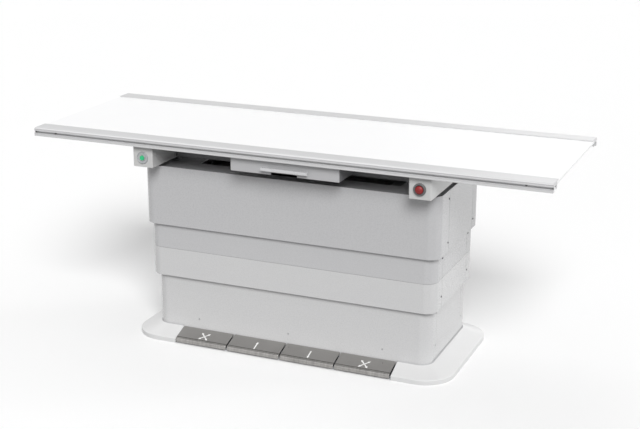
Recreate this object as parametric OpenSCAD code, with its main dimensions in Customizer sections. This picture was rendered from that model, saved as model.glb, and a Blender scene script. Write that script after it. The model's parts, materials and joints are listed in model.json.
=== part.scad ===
// Elevating four-way float-top radiography table, shown fully raised.
// A floor base holds two three-stage lift columns inside a telescopic cover.
// A carriage of two arms slides across the head on guide rails. The tabletop
// rolls lengthwise on the arms, and a cassette unit hangs between them.
// Origin: middle of the base on the floor. X runs along the table,
// Y runs across it, away from the user, and Z is up. Units are millimetres.

/* [Tabletop] */
// Length of the tabletop
table_l = 2200; // [1900:10:2400]
// Width of the tabletop over both rails
table_w = 770; // [700:5:840]
// Height of the tabletop when fully raised
table_h = 894; // [870:1:940]
// Width of one side rail seen from above
rail_w = 80; // [74:1:96]
// Height of one side rail
rail_h = 35; // [34:0.5:40]
// Thickness of the tabletop panel
panel_t = 12; // [8:0.5:13]
// Depth of the slot along the rail's outer face
slot_depth = 11; // [8:0.5:12]
// Width of the slot's mouth
slot_mouth = 8; // [5:0.5:9]

/* [Carriage] */
// Width of one arm, along X
arm_w = 90; // [70:1:110]
// Height of one arm
arm_h = 86.3; // [80:0.1:95]
// How far each arm's middle stands in from the lift cover's end
arm_inset = 52.5; // [47:0.5:80]
// How far the arms' ends stand back from the tabletop's long edges
arm_setback = 24; // [22:1:40]
// Gap between the arms and the top of the lift cover
carriage_gap = 12.5; // [10:0.5:20]
// Travel of the tabletop across the table, each way
cross_travel = 120; // [60:5:140]

/* [Lift cover] */
// Length of the upper tier
upper_l = 1294; // [1280:1:1330]
// Width of the upper tier
upper_w = 553; // [540:1:600]
// Side step between one tier and the next
tier_step = 14.5; // [11:0.5:18]
// Visible height of the lower tier
lower_show = 225; // [200:1:240]
// Visible height of the middle tier's lower band
band_low_h = 124; // [100:1:140]
// Visible height of the middle tier's upper band
band_up_h = 106; // [90:1:120]
// Radius of the tiers' upright corners
tier_r = 50; // [30:1:60]
// Wall of the tiers' sheet panels
tier_wall = 2; // [1.5:0.5:3]
// Lift of the tabletop
lift_travel = 340; // [200:10:350]

/* [Base] */
// How far the base cover stands out from the lower tier at each end
base_out_l = 93.1; // [80:0.1:140]
// How far the base cover stands out from the lower tier in front and behind
base_out_w = 83.3; // [76:0.1:120]
// Height of the base cover's outer edge
base_edge_h = 20; // [16:1:26]
// Height of the base cover where it meets the lower tier
foot_h = 49; // [44:1:60]
// Radius of the base cover's corners
base_r = 130; // [90:1:150]
// Wall of the base cover
base_wall = 3; // [2:0.5:4]
// Thickness of the base plate
plate_t = 10; // [6:1:12]

/* [Pedals] */
// Length of the row of pedals
pedal_row_l = 963; // [800:1:980]
// Place of the row's middle along the table
pedal_row_x = -5.5; // [-20:0.5:20]
// Gap between neighbouring pedals
pedal_gap = 6; // [4:0.5:10]
// Thickness of the pedals' sheet
pedal_t = 3; // [2:0.5:3.5]

/* [Cassette unit] */
// Width of the cassette unit, along X
bucky_w = 464; // [400:1:500]
// Place of the cassette unit's middle along the table
bucky_x = 38; // [-100:1:100]
// Depth of the cassette unit, along Y
bucky_d = 526; // [500:1:560]
// Height of the tray's front plate
tray_front_h = 54; // [50:0.5:56]
// Length of the tray's handle
handle_l = 198; // [150:1:260]
// Place of the handle's middle, from the tray's middle
handle_x = 7; // [-20:1:20]

/* [Hidden] */

// Facets of a true circle, and of a circle that goes into a hull
fn_round = 48;
fn_soft = 32;
// Overrun of every cut past the face that it opens
cut = 1;
// Gap between pieces that seat or nest without touching
seat_gap = 0.3;
// Running clearance of a pin in its bore, on the radius
pin_gap = 0.05;

// Colours as the photograph shows them
white_paint = [0.93, 0.93, 0.93];
grey_paint = [0.76, 0.76, 0.76];
dark_band_paint = [0.72, 0.72, 0.73];
dark_grey = [0.24, 0.24, 0.25];
silver = [0.80, 0.81, 0.83];
pedal_steel = [0.55, 0.54, 0.52];
black_plastic = [0.07, 0.07, 0.08];
machine_steel = [0.60, 0.61, 0.63];

// Heights of the stack under the tabletop
rail_z = table_h - rail_h;
table_gap = 2;
arm_top_z = rail_z - table_gap;
arm_z = arm_top_z - arm_h;
cover_top_z = arm_z - carriage_gap;
middle_z = foot_h + lower_show;
band_z = middle_z + band_low_h;
upper_z = band_z + band_up_h;

// Tiers of the lift cover
tier_overlap = 20;
middle_l = upper_l - 2 * tier_step;
middle_w = upper_w - 2 * tier_step;
lower_step_l = 18.1;
lower_step_w = 16.3;
lower_l = middle_l - 2 * lower_step_l;
lower_w = middle_w - 2 * lower_step_w;
middle_top_z = upper_z + tier_overlap;
lower_top_z = middle_z + tier_overlap;
lower_z = foot_h - tier_overlap;
// The base cover follows the lower tier, and the arms follow the upper one
base_l = lower_l + 2 * base_out_l;
base_w = lower_w + 2 * base_out_w;
arm_x = upper_l / 2 - arm_inset;
// Seams between the front or rear cover and the end covers, first how far
// each stands in from its side, then its place from the middle
upper_seam_front_in = 132.5;
upper_seam_rear_in = 98.5;
middle_seam_in = 99;
lower_seam_in = 81.7;
upper_seam_front = upper_w / 2 - upper_seam_front_in;
upper_seam_rear = upper_w / 2 - upper_seam_rear_in;
middle_seam = middle_w / 2 - middle_seam_in;
lower_seam = lower_w / 2 - lower_seam_in;
seam_gap = 0.8;
seam_strip_w = 20;
seam_strip_t = 1.5;
band_joint = 0.8;

// Cover screws
screw_head_r = 4;
screw_head_h = 2;
screw_shank_r = 2;
screw_hole_r = 2.3;
screw_grip = 5;
screw_cross_w = 1;
screw_cross_l = 4.4;
screw_from_seam = 10;
upper_screw_up = 41;
upper_screw_down = 34;
middle_screw_up = 50;
middle_screw_down = 3.2;
lower_screw_up = 65;
lower_screw_down = 20;
front_screw_up = 41;
front_screw_in = 199.4;
upper_screw_z = [upper_z + upper_screw_up, cover_top_z - upper_screw_down];
lower_screw_z = [foot_h + lower_screw_up, middle_z - lower_screw_down];
front_screw_z = foot_h + front_screw_up;
front_screw_x = lower_l / 2 - front_screw_in;

// Base plate and the frame that carries the lower tier
plate_inset = 1;
plate_front_in = 14;
plate_front_y = base_w / 2 - plate_front_in;
anchor_in_x = 147.5;
anchor_in_y = 149;
anchor_x = base_l / 2 - anchor_in_x;
anchor_y = base_w / 2 - anchor_in_y;
anchor_r = 7;
frame_t = 3;
cover_frame_h = 95;
gasket_w = 4;
gasket_h = 4;

// Lift columns
column_in = 227;
column_x = upper_l / 2 - column_in;
column_r = 80;
column_wall = 5;
column_floor_t = 12;
column_flange_r = 105;
flange_bolt_r = 5;
flange_bolt_pcd = 185;
flange_bolts = 6;
collar_h = 12;
collar_r = 90;
stage_gap = 2;
middle_tube_r = column_r - column_wall - seat_gap;
inner_tube_r = middle_tube_r - column_wall - seat_gap;
motor_w = 120;
motor_d = 84;
motor_h = 150;
motor_r = 12;
motor_tower_r = 26;
motor_tower_h = 60;

// Head frame and deck
deck_t = 4;
deck_drop = 8;
deck_flange_h = 22;
deck_window_in_x = 202;
deck_window_in_y = 127.5;
deck_window_x = upper_l / 2 - deck_window_in_x;
deck_window_y = upper_w / 2 - deck_window_in_y;
deck_window_r = 12;
deck_z = cover_top_z - deck_drop - deck_t;
head_h = 74;
head_z = deck_z - head_h;
head_tube_w = 60;
head_wall = 4;
head_pad_t = 10;
head_pad_w = 200;
head_side_in = 82;
head_y = middle_w / 2 - head_side_in;
head_end_clear = 18;
column_floor_z = plate_t + column_floor_t;
// The collars stand near the middle tier's top, lower with a longer travel,
// so that the head keeps its way down
collar_rise = 154.2;
collar_z = upper_z + collar_rise - lift_travel / 2;
outer_top_z = collar_z - lift_travel / 2 - stage_gap;
middle_tube_z = column_floor_z + stage_gap + lift_travel / 2;
inner_tube_z = column_floor_z + stage_gap + lift_travel;

// Middle frame
middle_frame_t = 4;
middle_flange_h = 30;
middle_window_in = 112;
middle_window_y = middle_w / 2 - middle_window_in;
middle_screw_z = [middle_z + middle_screw_up, collar_z - middle_screw_down];

// Guide rails across the head, and the blocks that run on them
guide_w = 15;
guide_waist_w = 11;
guide_h = 13;
guide_foot_h = 4;
guide_neck_h = 4;
guide_end = 5;
guide_bolt_r = 2.3;
guide_bolt_pitch = 60;
block_w = 34;
block_l = 56;
block_lift = 4.3;
block_over = 1.5;
guide_gap = 0.3;
// Half the length of a guide rail, and the blocks' place that leaves them their travel
guide_half = upper_w / 2 - tier_wall - frame_t - guide_end;
block_y = guide_half + block_over - cross_travel - block_l / 2;

// Arms
arm_r = 6;
arm_wall = 6;
arm_top_t = 8;
arm_pocket_r = 8;
arm_end_solid = 62;
arm_pad_l = 70;
arm_y = table_w / 2 - arm_setback;

// Rollers and their axles
roller_r = 11;
roller_w = 16;
roller_groove = 1;
roller_gap = 0.3;
axle_r = 5;
axle_head_r = 7;
axle_head_t = 2;
lug_t = 8;
lug_w = 30;
lug_r = 9;
channel_wall = 16;
channel_roof_t = 8;
channel_roof = rail_h - channel_roof_t;
channel_leg = 4;
roller_from_wall = 7;
lug_gap = 3.5;
roller_z = rail_z + channel_roof - roller_gap - roller_r;
roller_y = table_w / 2 - channel_wall - roller_from_wall - roller_w / 2;

// Brakes
brake_l = 56;
brake_w = 44;
brake_r = 6;
brake_gap = 0.6;
brake_y = 230;
brake_foot_play = 1;
brake_yoke_t = 5;

// Rail section
flange_t = 3.5;
panel_fit = 0.2;
panel_grip = 20;
ledge_t = 4;
leg_drop = 8;
bevel_w = 10;
bevel_h = 4;
slot_wide = 14;
slot_lip = 3.5;
slot_z = rail_h / 2;
ridge_t = 1.1;
ridge_low = 3;
ridge_gap = 4;
cap_t = 3;
cap_notch_w = 30;
cap_notch_h = 20;
rail_screw_r = 4;
rail_screw_t = 3;
rail_screw_x = 100;

// Cassette unit
bucky_drop = 57;
bucky_z = arm_top_z - bucky_drop;
bucky_h = 50;
bucky_wall = 2.5;
bucky_floor_t = 2;
bucky_front_gap = 2;
grid_t = 4;
grid_ledge = 8;
grid_rim = 14;
grid_skin = 1.2;
runner_w = 9;
runner_t = 3;
runner_play = 0.4;
tray_t = 3;
tray_rise = 26;
tray_short = 71;
tray_z = bucky_z + tray_rise;
tray_d = bucky_d - tray_short;
tray_play = 1;
tray_front_t = 3;
tray_lip = 14;
tray_corner_r = 3;
tray_notch_w = 110;
tray_notch_h = 9;
handle_h = 12.5;
handle_t = 7;
handle_out = 22.5;
handle_rise = 18.5;
handle_z = bucky_z + handle_rise;
handle_r = 2;
handle_post_l = 14;
jaw_l = 240;
jaw_t = 12;
jaw_h = 14;
jaw_lip = 3;
jaw_tongue_w = 10;
jaw_travel = 110;
jaw_from_edge = 22.5;
jaw_back = 2.5;
jaw_y = tray_d / 2 - jaw_from_edge;
jaw_middle_y = tray_front_t + tray_d / 2 + jaw_back - arm_y;
jaw_grip_gap = 0.4;
brail_w = 24;
brail_h = 20;
brail_wall = 3;
brail_in = 20;
brail_pitch = 300;
brail_pad_t = 5;
brail_pad_w = 44;
shoe_l = 60;
shoe_t = 4;
shoe_lip = 10;
shoe_gap = 0.35;
brail_z = bucky_z - shoe_t - brail_h;
bucky_front_y = -arm_y + tray_front_t + bucky_front_gap;
bucky_in_w = bucky_w - 2 * bucky_wall;
brail_rear_y = bucky_front_y + bucky_d - brail_in;
brail_places = [brail_rear_y - brail_pitch, brail_rear_y];

// Buttons
button_drop = 47;
button_z = arm_top_z - button_drop;
bezel_r = 25;
bezel_floor_t = 2;
stop_rim_h = 8.5;
stop_head_r = 16;
stop_head_h = 10;
stop_head_out = 7;
stop_dome = 3;
power_rim_h = 5;
power_rim_w = 3;
power_ring_r = 13;
power_ring_h = 4;
power_head_r = 9.7;
power_head_h = 4;
power_head_out = 4.5;
head_gap = 0.4;
barrel_r = 11.8;
barrel_l = 30;
bore_depth = 46;
shaft_r = 5;
shaft_l = 38;
bore_r = barrel_r + seat_gap;

// Pedals
pedal_slot_gap = 2;
pedal_rear_gap = 3;
pedal_rear_drop = 1;
pedal_front_rise = 3.6;
pedal_rear_z = foot_h - pedal_rear_drop;
pedal_front_z = base_edge_h + pedal_front_rise;
pedal_skirt_z = 6;
pedal_nose_r = 4;
pivot_drop = 17;
pivot_z = pedal_rear_z - pivot_drop;
pivot_back = 12;
pivot_r = 6;
pivot_pin_r = 4;
pivot_in = 16;
ear_t = 5;
ear_in = 8;
ear_foot_t = 4;
ear_foot_l = 34;
pedal_rib_t = 4;
pedal_ribs = 3;
switch_w = 28;
switch_d = 16;
switch_h = 10.7;
switch_in = 29;
switch_button_r = 4;
switch_button_h = 5;
pedal_count = 4;
pedal_w = (pedal_row_l - (pedal_count - 1) * pedal_gap) / pedal_count;
pedal_notch_l = pedal_row_l + 2 * pedal_slot_gap;
pedal_notch_x = pedal_row_x - pedal_notch_l / 2;
pedal_rear_y = -lower_w / 2 - pedal_rear_gap;
pedal_front_y = -base_w / 2;
pivot_y = pedal_rear_y - pivot_back;

// Control box and mains gland
box_l = 300;
box_d = 120;
box_h = 140;
box_in = 115.7;
box_y = lower_w / 2 - box_in;
box_r = 8;
box_lid_t = 2;
box_lid_over = 3;
gland_x = 300;
gland_rise = 26;
gland_z = foot_h + gland_rise;
gland_r = 10;
gland_hex_r = 13;
gland_hex_t = 6;
gland_out = 12;
gland_bore_r = 5;
gland_nut_t = 5;

// A rectangle with round corners, exact, centred
module rounded_rect(l, w, r) {
    rr = min(r, l / 2, w / 2);
    if (l > 2 * rr)
        square([l - 2 * rr, w], center = true);
    if (w > 2 * rr)
        square([l, w - 2 * rr], center = true);
    for (sx = [-1, 1])
        for (sy = [-1, 1])
            translate([sx * (l / 2 - rr), sy * (w / 2 - rr)])
                circle(r = rr, $fn = fn_round);
}

// A closed wall that follows a rounded rectangle
module ring_wall(l, w, r, t, h) {
    linear_extrude(h)
        difference() {
            rounded_rect(l, w, r);
            rounded_rect(l - 2 * t, w - 2 * t, max(r - t, t));
        }
}

// Everything between two places along Y, over the whole length and height
module y_slice(y0, y1) {
    translate([-table_l / 2, y0, -table_h])
        cube([table_l, y1 - y0, 3 * table_h]);
}

// A cylinder that lies along Y
module y_rod(r, l) {
    rotate([-90, 0, 0])
        cylinder(r = r, h = l, $fn = fn_round);
}

// A cylinder that lies along X
module x_rod(r, l) {
    rotate([0, 90, 0])
        cylinder(r = r, h = l, $fn = fn_round);
}

// Holes for the screws beside one tier's seams, through both ends
module seam_holes(l, seam_front, seam_rear, heights, r) {
    for (z = heights)
        for (y = [-seam_front - screw_from_seam, seam_rear + screw_from_seam])
            translate([-l / 2 - cut, y, z])
                x_rod(r, l + 2 * cut);
}

// The front or rear cover of a tier, which wraps both corners
module wrap_cover(l, w, z0, z1, seam, side, seam_front, seam_rear, heights) {
    difference() {
        intersection() {
            translate([0, 0, z0])
                ring_wall(l, w, tier_r, tier_wall, z1 - z0);
            if (side < 0)
                y_slice(-w, -seam - seam_gap / 2);
            else
                y_slice(seam + seam_gap / 2, w);
        }
        seam_holes(l, seam_front, seam_rear, heights, screw_hole_r);
    }
}

// Both end covers of a tier, each with a strip behind its seams for the screws
module end_covers(l, w, z0, z1, seam_front, seam_rear, heights) {
    inner_l = l - 2 * tier_wall;
    inner_w = w - 2 * tier_wall;
    difference() {
        union() {
            intersection() {
                translate([0, 0, z0])
                    ring_wall(l, w, tier_r, tier_wall, z1 - z0);
                y_slice(-seam_front + seam_gap / 2, seam_rear - seam_gap / 2);
            }
            intersection() {
                translate([0, 0, z0])
                    ring_wall(inner_l, inner_w, tier_r, seam_strip_t + seat_gap, z1 - z0);
                y_slice(-seam_front + seam_gap / 2, seam_rear - seam_gap / 2);
            }
            intersection() {
                translate([0, 0, z0])
                    ring_wall(inner_l - 2 * seat_gap, inner_w - 2 * seat_gap, tier_r,
                        seam_strip_t, z1 - z0);
                y_slice(-seam_front - seam_strip_w, seam_rear + seam_strip_w);
            }
        }
        seam_holes(l, seam_front, seam_rear, heights, screw_hole_r);
    }
}

// One cross-head screw that points along +Z, its head's seat at zero
module cover_screw() {
    difference() {
        union() {
            cylinder(r1 = screw_head_r, r2 = screw_head_r - screw_head_h / 2,
                h = screw_head_h, $fn = fn_round);
            translate([0, 0, -screw_grip])
                cylinder(r = screw_shank_r, h = screw_grip + screw_head_h / 2, $fn = fn_round);
        }
        for (a = [0, 90])
            rotate([0, 0, a])
                translate([-screw_cross_l / 2, -screw_cross_w / 2, screw_head_h / 2])
                    cube([screw_cross_l, screw_cross_w, screw_head_h]);
    }
}

// The screws beside one tier's seams, at both ends
module seam_screws(l, seam_front, seam_rear, heights) {
    for (z = heights)
        for (y = [-seam_front - screw_from_seam, seam_rear + screw_from_seam])
            for (s = [-1, 1])
                translate([s * l / 2, y, z])
                    rotate([0, s * 90, 0])
                        cover_screw();
}

// Base

module base_plate() {
    color(machine_steel)
        difference() {
            linear_extrude(plate_t)
                rounded_rect(base_l - 2 * (base_wall + plate_inset),
                    base_w - 2 * (base_wall + plate_inset), base_r - base_wall);
            translate([pedal_notch_x, -base_w, -cut])
                cube([pedal_notch_l, base_w - plate_front_y, plate_t + 2 * cut]);
            for (sx = [-1, 1])
                for (sy = [-1, 1])
                    translate([sx * anchor_x, sy * anchor_y, -cut])
                        cylinder(r = anchor_r, h = plate_t + 2 * cut, $fn = fn_round);
        }
}

module cover_frame() {
    frame_l = lower_l - 2 * (tier_wall + seam_strip_t + 2 * seat_gap);
    frame_w = lower_w - 2 * (tier_wall + seat_gap);
    color(machine_steel)
        translate([0, 0, plate_t])
            difference() {
                ring_wall(frame_l, frame_w, tier_r - tier_wall, frame_t, cover_frame_h);
                for (x = [-front_screw_x, 0, front_screw_x])
                    translate([x, -lower_w, front_screw_z - plate_t])
                        y_rod(screw_hole_r, 2 * lower_w);
                translate([gland_x, 0, gland_z - plate_t])
                    y_rod(gland_hex_r + seat_gap, lower_w);
            }
}

// The sloped body of the base cover, drawn in or out by a margin
module base_cover_body(margin, top_z) {
    top_l = lower_l + 2 * gasket_w;
    top_w = lower_w + 2 * gasket_w;
    hull() {
        linear_extrude(base_edge_h - margin)
            rounded_rect(base_l - 2 * margin, base_w - 2 * margin, base_r - margin, $fn = fn_soft);
        translate([0, 0, top_z - margin - seat_gap])
            linear_extrude(seat_gap)
                rounded_rect(top_l, top_w, tier_r + gasket_w);
    }
}

module base_cover() {
    color(white_paint)
        difference() {
            base_cover_body(0, foot_h);
            translate([0, 0, -cut])
                linear_extrude(base_edge_h - base_wall + cut)
                    rounded_rect(base_l - 2 * base_wall, base_w - 2 * base_wall, base_r - base_wall);
            base_cover_body(base_wall, foot_h);
            translate([0, 0, -cut])
                linear_extrude(foot_h + 2 * cut)
                    rounded_rect(lower_l + 2 * seat_gap, lower_w + 2 * seat_gap, tier_r + seat_gap);
            translate([pedal_notch_x, -base_w, -cut])
                cube([pedal_notch_l, base_w - lower_w / 2, foot_h + 2 * cut]);
        }
}

module foot_gasket() {
    color(white_paint)
        difference() {
            translate([0, 0, foot_h])
                ring_wall(lower_l + 2 * gasket_w, lower_w + 2 * gasket_w, tier_r + gasket_w,
                    gasket_w - seat_gap, gasket_h);
            translate([pedal_notch_x, -base_w, foot_h - cut])
                cube([pedal_notch_l, base_w - lower_w / 2, gasket_h + 2 * cut]);
        }
}

module lower_front_cover() {
    color(grey_paint)
        difference() {
            wrap_cover(lower_l, lower_w, lower_z, lower_top_z, lower_seam, -1,
                lower_seam, lower_seam, lower_screw_z);
            for (x = [-front_screw_x, 0, front_screw_x])
                translate([x, -lower_w, front_screw_z])
                    y_rod(screw_hole_r, lower_w);
        }
}

module lower_rear_cover() {
    color(grey_paint)
        difference() {
            wrap_cover(lower_l, lower_w, lower_z, lower_top_z, lower_seam, 1,
                lower_seam, lower_seam, lower_screw_z);
            for (x = [-front_screw_x, 0, front_screw_x])
                translate([x, 0, front_screw_z])
                    y_rod(screw_hole_r, lower_w);
            translate([gland_x, 0, gland_z])
                y_rod(gland_r + seat_gap, lower_w);
        }
}

module lower_end_covers() {
    color(grey_paint)
        end_covers(lower_l, lower_w, lower_z, lower_top_z, lower_seam, lower_seam, lower_screw_z);
}

module lower_screws() {
    color(dark_grey) {
        seam_screws(lower_l, lower_seam, lower_seam, lower_screw_z);
        for (x = [-front_screw_x, 0, front_screw_x])
            for (s = [-1, 1])
                translate([x, s * lower_w / 2, front_screw_z])
                    rotate([-s * 90, 0, 0])
                        cover_screw();
    }
}

// A tube of one column stage
module stage_tube(r, z0, z1) {
    translate([0, 0, z0])
        difference() {
            cylinder(r = r, h = z1 - z0, $fn = fn_round);
            translate([0, 0, -cut])
                cylinder(r = r - column_wall, h = z1 - z0 + 2 * cut, $fn = fn_round);
        }
}

// Each column's outer tube with its foot flange and its motor gearbox
module column_outer_tubes() {
    color(machine_steel)
        for (s = [-1, 1])
            translate([s * column_x, 0, 0]) {
                difference() {
                    translate([0, 0, plate_t])
                        cylinder(r = column_flange_r, h = column_floor_t, $fn = fn_round);
                    for (i = [0 : flange_bolts - 1])
                        rotate([0, 0, i * 360 / flange_bolts])
                            translate([flange_bolt_pcd / 2, 0, plate_t - cut])
                                cylinder(r = flange_bolt_r, h = column_floor_t + 2 * cut,
                                    $fn = fn_round);
                }
                stage_tube(column_r, column_floor_z - cut, outer_top_z);
                translate([-s * (column_r + motor_w / 2 - column_wall / 2), 0, column_floor_z])
                    linear_extrude(motor_h)
                        rounded_rect(motor_w, motor_d, motor_r);
                translate([-s * (column_r + motor_w / 2), 0, column_floor_z])
                    cylinder(r = motor_tower_r, h = motor_h + motor_tower_h, $fn = fn_round);
            }
}

module control_box() {
    color(dark_grey)
        translate([0, box_y, plate_t]) {
            linear_extrude(box_h)
                rounded_rect(box_l, box_d, box_r);
            translate([0, 0, box_h - box_lid_t])
                linear_extrude(2 * box_lid_t)
                    rounded_rect(box_l + 2 * box_lid_over, box_d + 2 * box_lid_over,
                        box_r + box_lid_over);
        }
}

module mains_gland() {
    color(black_plastic)
        translate([gland_x, lower_w / 2, gland_z])
            difference() {
                union() {
                    translate([0, -tier_wall - seat_gap - gland_nut_t, 0])
                        y_rod(gland_r, gland_nut_t + tier_wall + gland_out);
                    rotate([-90, 0, 0])
                        cylinder(r = gland_hex_r, h = gland_hex_t, $fn = 6);
                    translate([0, -tier_wall - gland_nut_t, 0])
                        rotate([-90, 0, 0])
                            cylinder(r = gland_hex_r - seat_gap, h = gland_nut_t, $fn = 6);
                }
                translate([0, -lower_w / 4, 0])
                    y_rod(gland_bore_r, lower_w / 2);
            }
}

// Pedals

// Place of one pedal's left edge along the table, the first counted as zero
function pedal_x(i) = pedal_row_x - pedal_row_l / 2 + i * (pedal_w + pedal_gap);

// Height of the pedals' top face at one place along Y
function pedal_top(y) = pedal_front_z
    + (pedal_rear_z - pedal_front_z) * (y - pedal_front_y) / (pedal_rear_y - pedal_front_y);

// Section of one pedal's bent sheet in Y and Z
module pedal_section() {
    difference() {
        union() {
            polygon([
                [pedal_front_y, pedal_skirt_z],
                [pedal_front_y, pedal_front_z - pedal_nose_r],
                [pedal_front_y + pedal_nose_r, pedal_top(pedal_front_y + pedal_nose_r)],
                [pedal_rear_y, pedal_rear_z],
                [pedal_rear_y, pedal_rear_z - pedal_t],
                [pedal_front_y + pedal_nose_r, pedal_top(pedal_front_y + pedal_nose_r) - pedal_t],
                [pedal_front_y + pedal_t, pedal_front_z - pedal_nose_r],
                [pedal_front_y + pedal_t, pedal_skirt_z]]);
            translate([pedal_front_y + pedal_nose_r, pedal_front_z - pedal_nose_r])
                circle(r = pedal_nose_r, $fn = fn_round);
        }
        translate([pedal_front_y + pedal_nose_r + pedal_t / 2, pedal_front_z - 2 * pedal_nose_r])
            circle(r = pedal_nose_r - pedal_t / 2, $fn = fn_round);
    }
}

// Rib below the sheet that carries the pivot barrel
module pedal_rib() {
    difference() {
        union() {
            polygon([
                [pedal_front_y + 2 * pedal_nose_r, pedal_top(pedal_front_y + 2 * pedal_nose_r) - pedal_t],
                [pedal_rear_y, pedal_rear_z - pedal_t],
                [pedal_rear_y, pivot_z],
                [pivot_y, pivot_z - pivot_r],
                [pivot_y - pivot_back, pivot_z]]);
            translate([pivot_y, pivot_z])
                circle(r = pivot_r, $fn = fn_round);
        }
        translate([pivot_y, pivot_z])
            circle(r = pivot_pin_r + pin_gap, $fn = fn_round);
    }
}

// A profile drawn in Y and Z, drawn out along X
module along_x(l) {
    rotate([90, 0, 90])
        linear_extrude(l)
            children();
}

module pedal(i) {
    barrel_in = pivot_in + ear_t;
    rib_pitch = (pedal_w - 2 * barrel_in - pedal_rib_t) / (pedal_ribs - 1);
    color(pedal_steel)
        translate([pedal_x(i), 0, 0]) {
            along_x(pedal_w)
                pedal_section();
            for (k = [0 : pedal_ribs - 1])
                translate([barrel_in + k * rib_pitch, 0, 0])
                    along_x(pedal_rib_t)
                        pedal_rib();
            translate([barrel_in, pivot_y, pivot_z])
                difference() {
                    x_rod(pivot_r, pedal_w - 2 * barrel_in);
                    translate([-cut, 0, 0])
                        x_rod(pivot_pin_r + pin_gap, pedal_w - 2 * barrel_in + 2 * cut);
                }
        }
}

module pedal_1() { pedal(0); }
module pedal_2() { pedal(1); }
module pedal_3() { pedal(2); }
module pedal_4() { pedal(3); }

// Places of a pedal's two ears, from its left edge
function ear_places() = [pivot_in - seat_gap, pedal_w - pivot_in - ear_t + seat_gap];

module pedal_brackets() {
    color(machine_steel)
        for (i = [0 : pedal_count - 1])
            for (x = ear_places())
                translate([pedal_x(i) + x, 0, 0]) {
                    along_x(ear_t)
                        difference() {
                            union() {
                                polygon([
                                    [pivot_y - pivot_back, plate_t],
                                    [pivot_y - pivot_r, pivot_z],
                                    [pivot_y + pivot_r, pivot_z],
                                    [pivot_y + pivot_r, plate_t]]);
                                translate([pivot_y, pivot_z])
                                    circle(r = pivot_r, $fn = fn_round);
                            }
                            translate([pivot_y, pivot_z])
                                circle(r = pivot_pin_r + pin_gap, $fn = fn_round);
                        }
                    translate([-(ear_in - ear_t), pivot_y - pivot_back - ear_foot_l / 2, plate_t])
                        cube([ear_in, ear_foot_l, ear_foot_t]);
                }
}

module pedal_pins() {
    color(machine_steel)
        for (i = [0 : pedal_count - 1])
            translate([pedal_x(i) + pivot_in - seat_gap - cut, pivot_y, pivot_z])
                x_rod(pivot_pin_r, pedal_w - 2 * (pivot_in - seat_gap - cut));
}

module pedal_switches() {
    color(black_plastic)
        for (i = [0 : pedal_count - 1])
            translate([pedal_x(i) + pedal_w / 2 + switch_w, pedal_front_y + switch_in, plate_t]) {
                translate([-switch_w / 2, -switch_d / 2, 0])
                    cube([switch_w, switch_d, switch_h]);
                cylinder(r = switch_button_r, h = switch_h + switch_button_h, $fn = fn_round);
            }
}

// Middle tier

module middle_frame() {
    frame_l = middle_l - 2 * (tier_wall + seam_strip_t + 2 * seat_gap);
    frame_w = middle_w - 2 * (tier_wall + seat_gap);
    frame_r = tier_r - tier_wall;
    color(machine_steel)
        translate([0, 0, collar_z]) {
            difference() {
                linear_extrude(middle_frame_t)
                    rounded_rect(frame_l, frame_w, frame_r);
                for (s = [-1, 1])
                    translate([s * column_x, 0, -cut])
                        cylinder(r = collar_r + seat_gap, h = middle_frame_t + 2 * cut,
                            $fn = fn_round);
                translate([0, 0, -cut])
                    linear_extrude(middle_frame_t + 2 * cut)
                        rounded_rect(2 * (column_x - collar_r - head_tube_w), 2 * middle_window_y,
                            tier_r);
            }
            difference() {
                translate([0, 0, -middle_flange_h])
                    ring_wall(frame_l, frame_w, frame_r, frame_t,
                        middle_flange_h + middle_frame_t);
                translate([0, 0, -collar_z])
                    seam_holes(middle_l, middle_seam, middle_seam, middle_screw_z,
                        screw_hole_r);
            }
        }
}

module column_middle_tubes() {
    color(silver)
        for (s = [-1, 1])
            translate([s * column_x, 0, 0]) {
                stage_tube(middle_tube_r, middle_tube_z, collar_z + collar_h);
                translate([0, 0, collar_z])
                    difference() {
                        cylinder(r = collar_r, h = collar_h, $fn = fn_round);
                        translate([0, 0, -cut])
                            cylinder(r = middle_tube_r - column_wall / 2, h = collar_h + 2 * cut,
                                $fn = fn_round);
                    }
            }
}

module upper_band_front() {
    color(dark_band_paint)
        wrap_cover(middle_l, middle_w, band_z + band_joint / 2, middle_top_z, middle_seam, -1,
            middle_seam, middle_seam, middle_screw_z);
}

module upper_band_rear() {
    color(dark_band_paint)
        wrap_cover(middle_l, middle_w, band_z + band_joint / 2, middle_top_z, middle_seam, 1,
            middle_seam, middle_seam, middle_screw_z);
}

module lower_band_front() {
    color(grey_paint)
        wrap_cover(middle_l, middle_w, middle_z, band_z - band_joint / 2, middle_seam, -1,
            middle_seam, middle_seam, middle_screw_z);
}

module lower_band_rear() {
    color(grey_paint)
        wrap_cover(middle_l, middle_w, middle_z, band_z - band_joint / 2, middle_seam, 1,
            middle_seam, middle_seam, middle_screw_z);
}

module middle_end_covers() {
    color(grey_paint)
        difference() {
            end_covers(middle_l, middle_w, middle_z, middle_top_z, middle_seam, middle_seam,
                middle_screw_z);
            translate([0, 0, band_z - band_joint / 2])
                ring_wall(middle_l + cut, middle_w + cut, tier_r, tier_wall / 2 + cut / 2, band_joint);
        }
}

module middle_screws() {
    color(dark_grey)
        seam_screws(middle_l, middle_seam, middle_seam, middle_screw_z);
}

// Head

// A square tube that lies along X, centred, open at both ends
module box_tube(l, w, h, t) {
    difference() {
        translate([-l / 2, -w / 2, 0])
            cube([l, w, h]);
        translate([-l / 2 - cut, -w / 2 + t, t])
            cube([l + 2 * cut, w - 2 * t, h - 2 * t]);
    }
}

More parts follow.
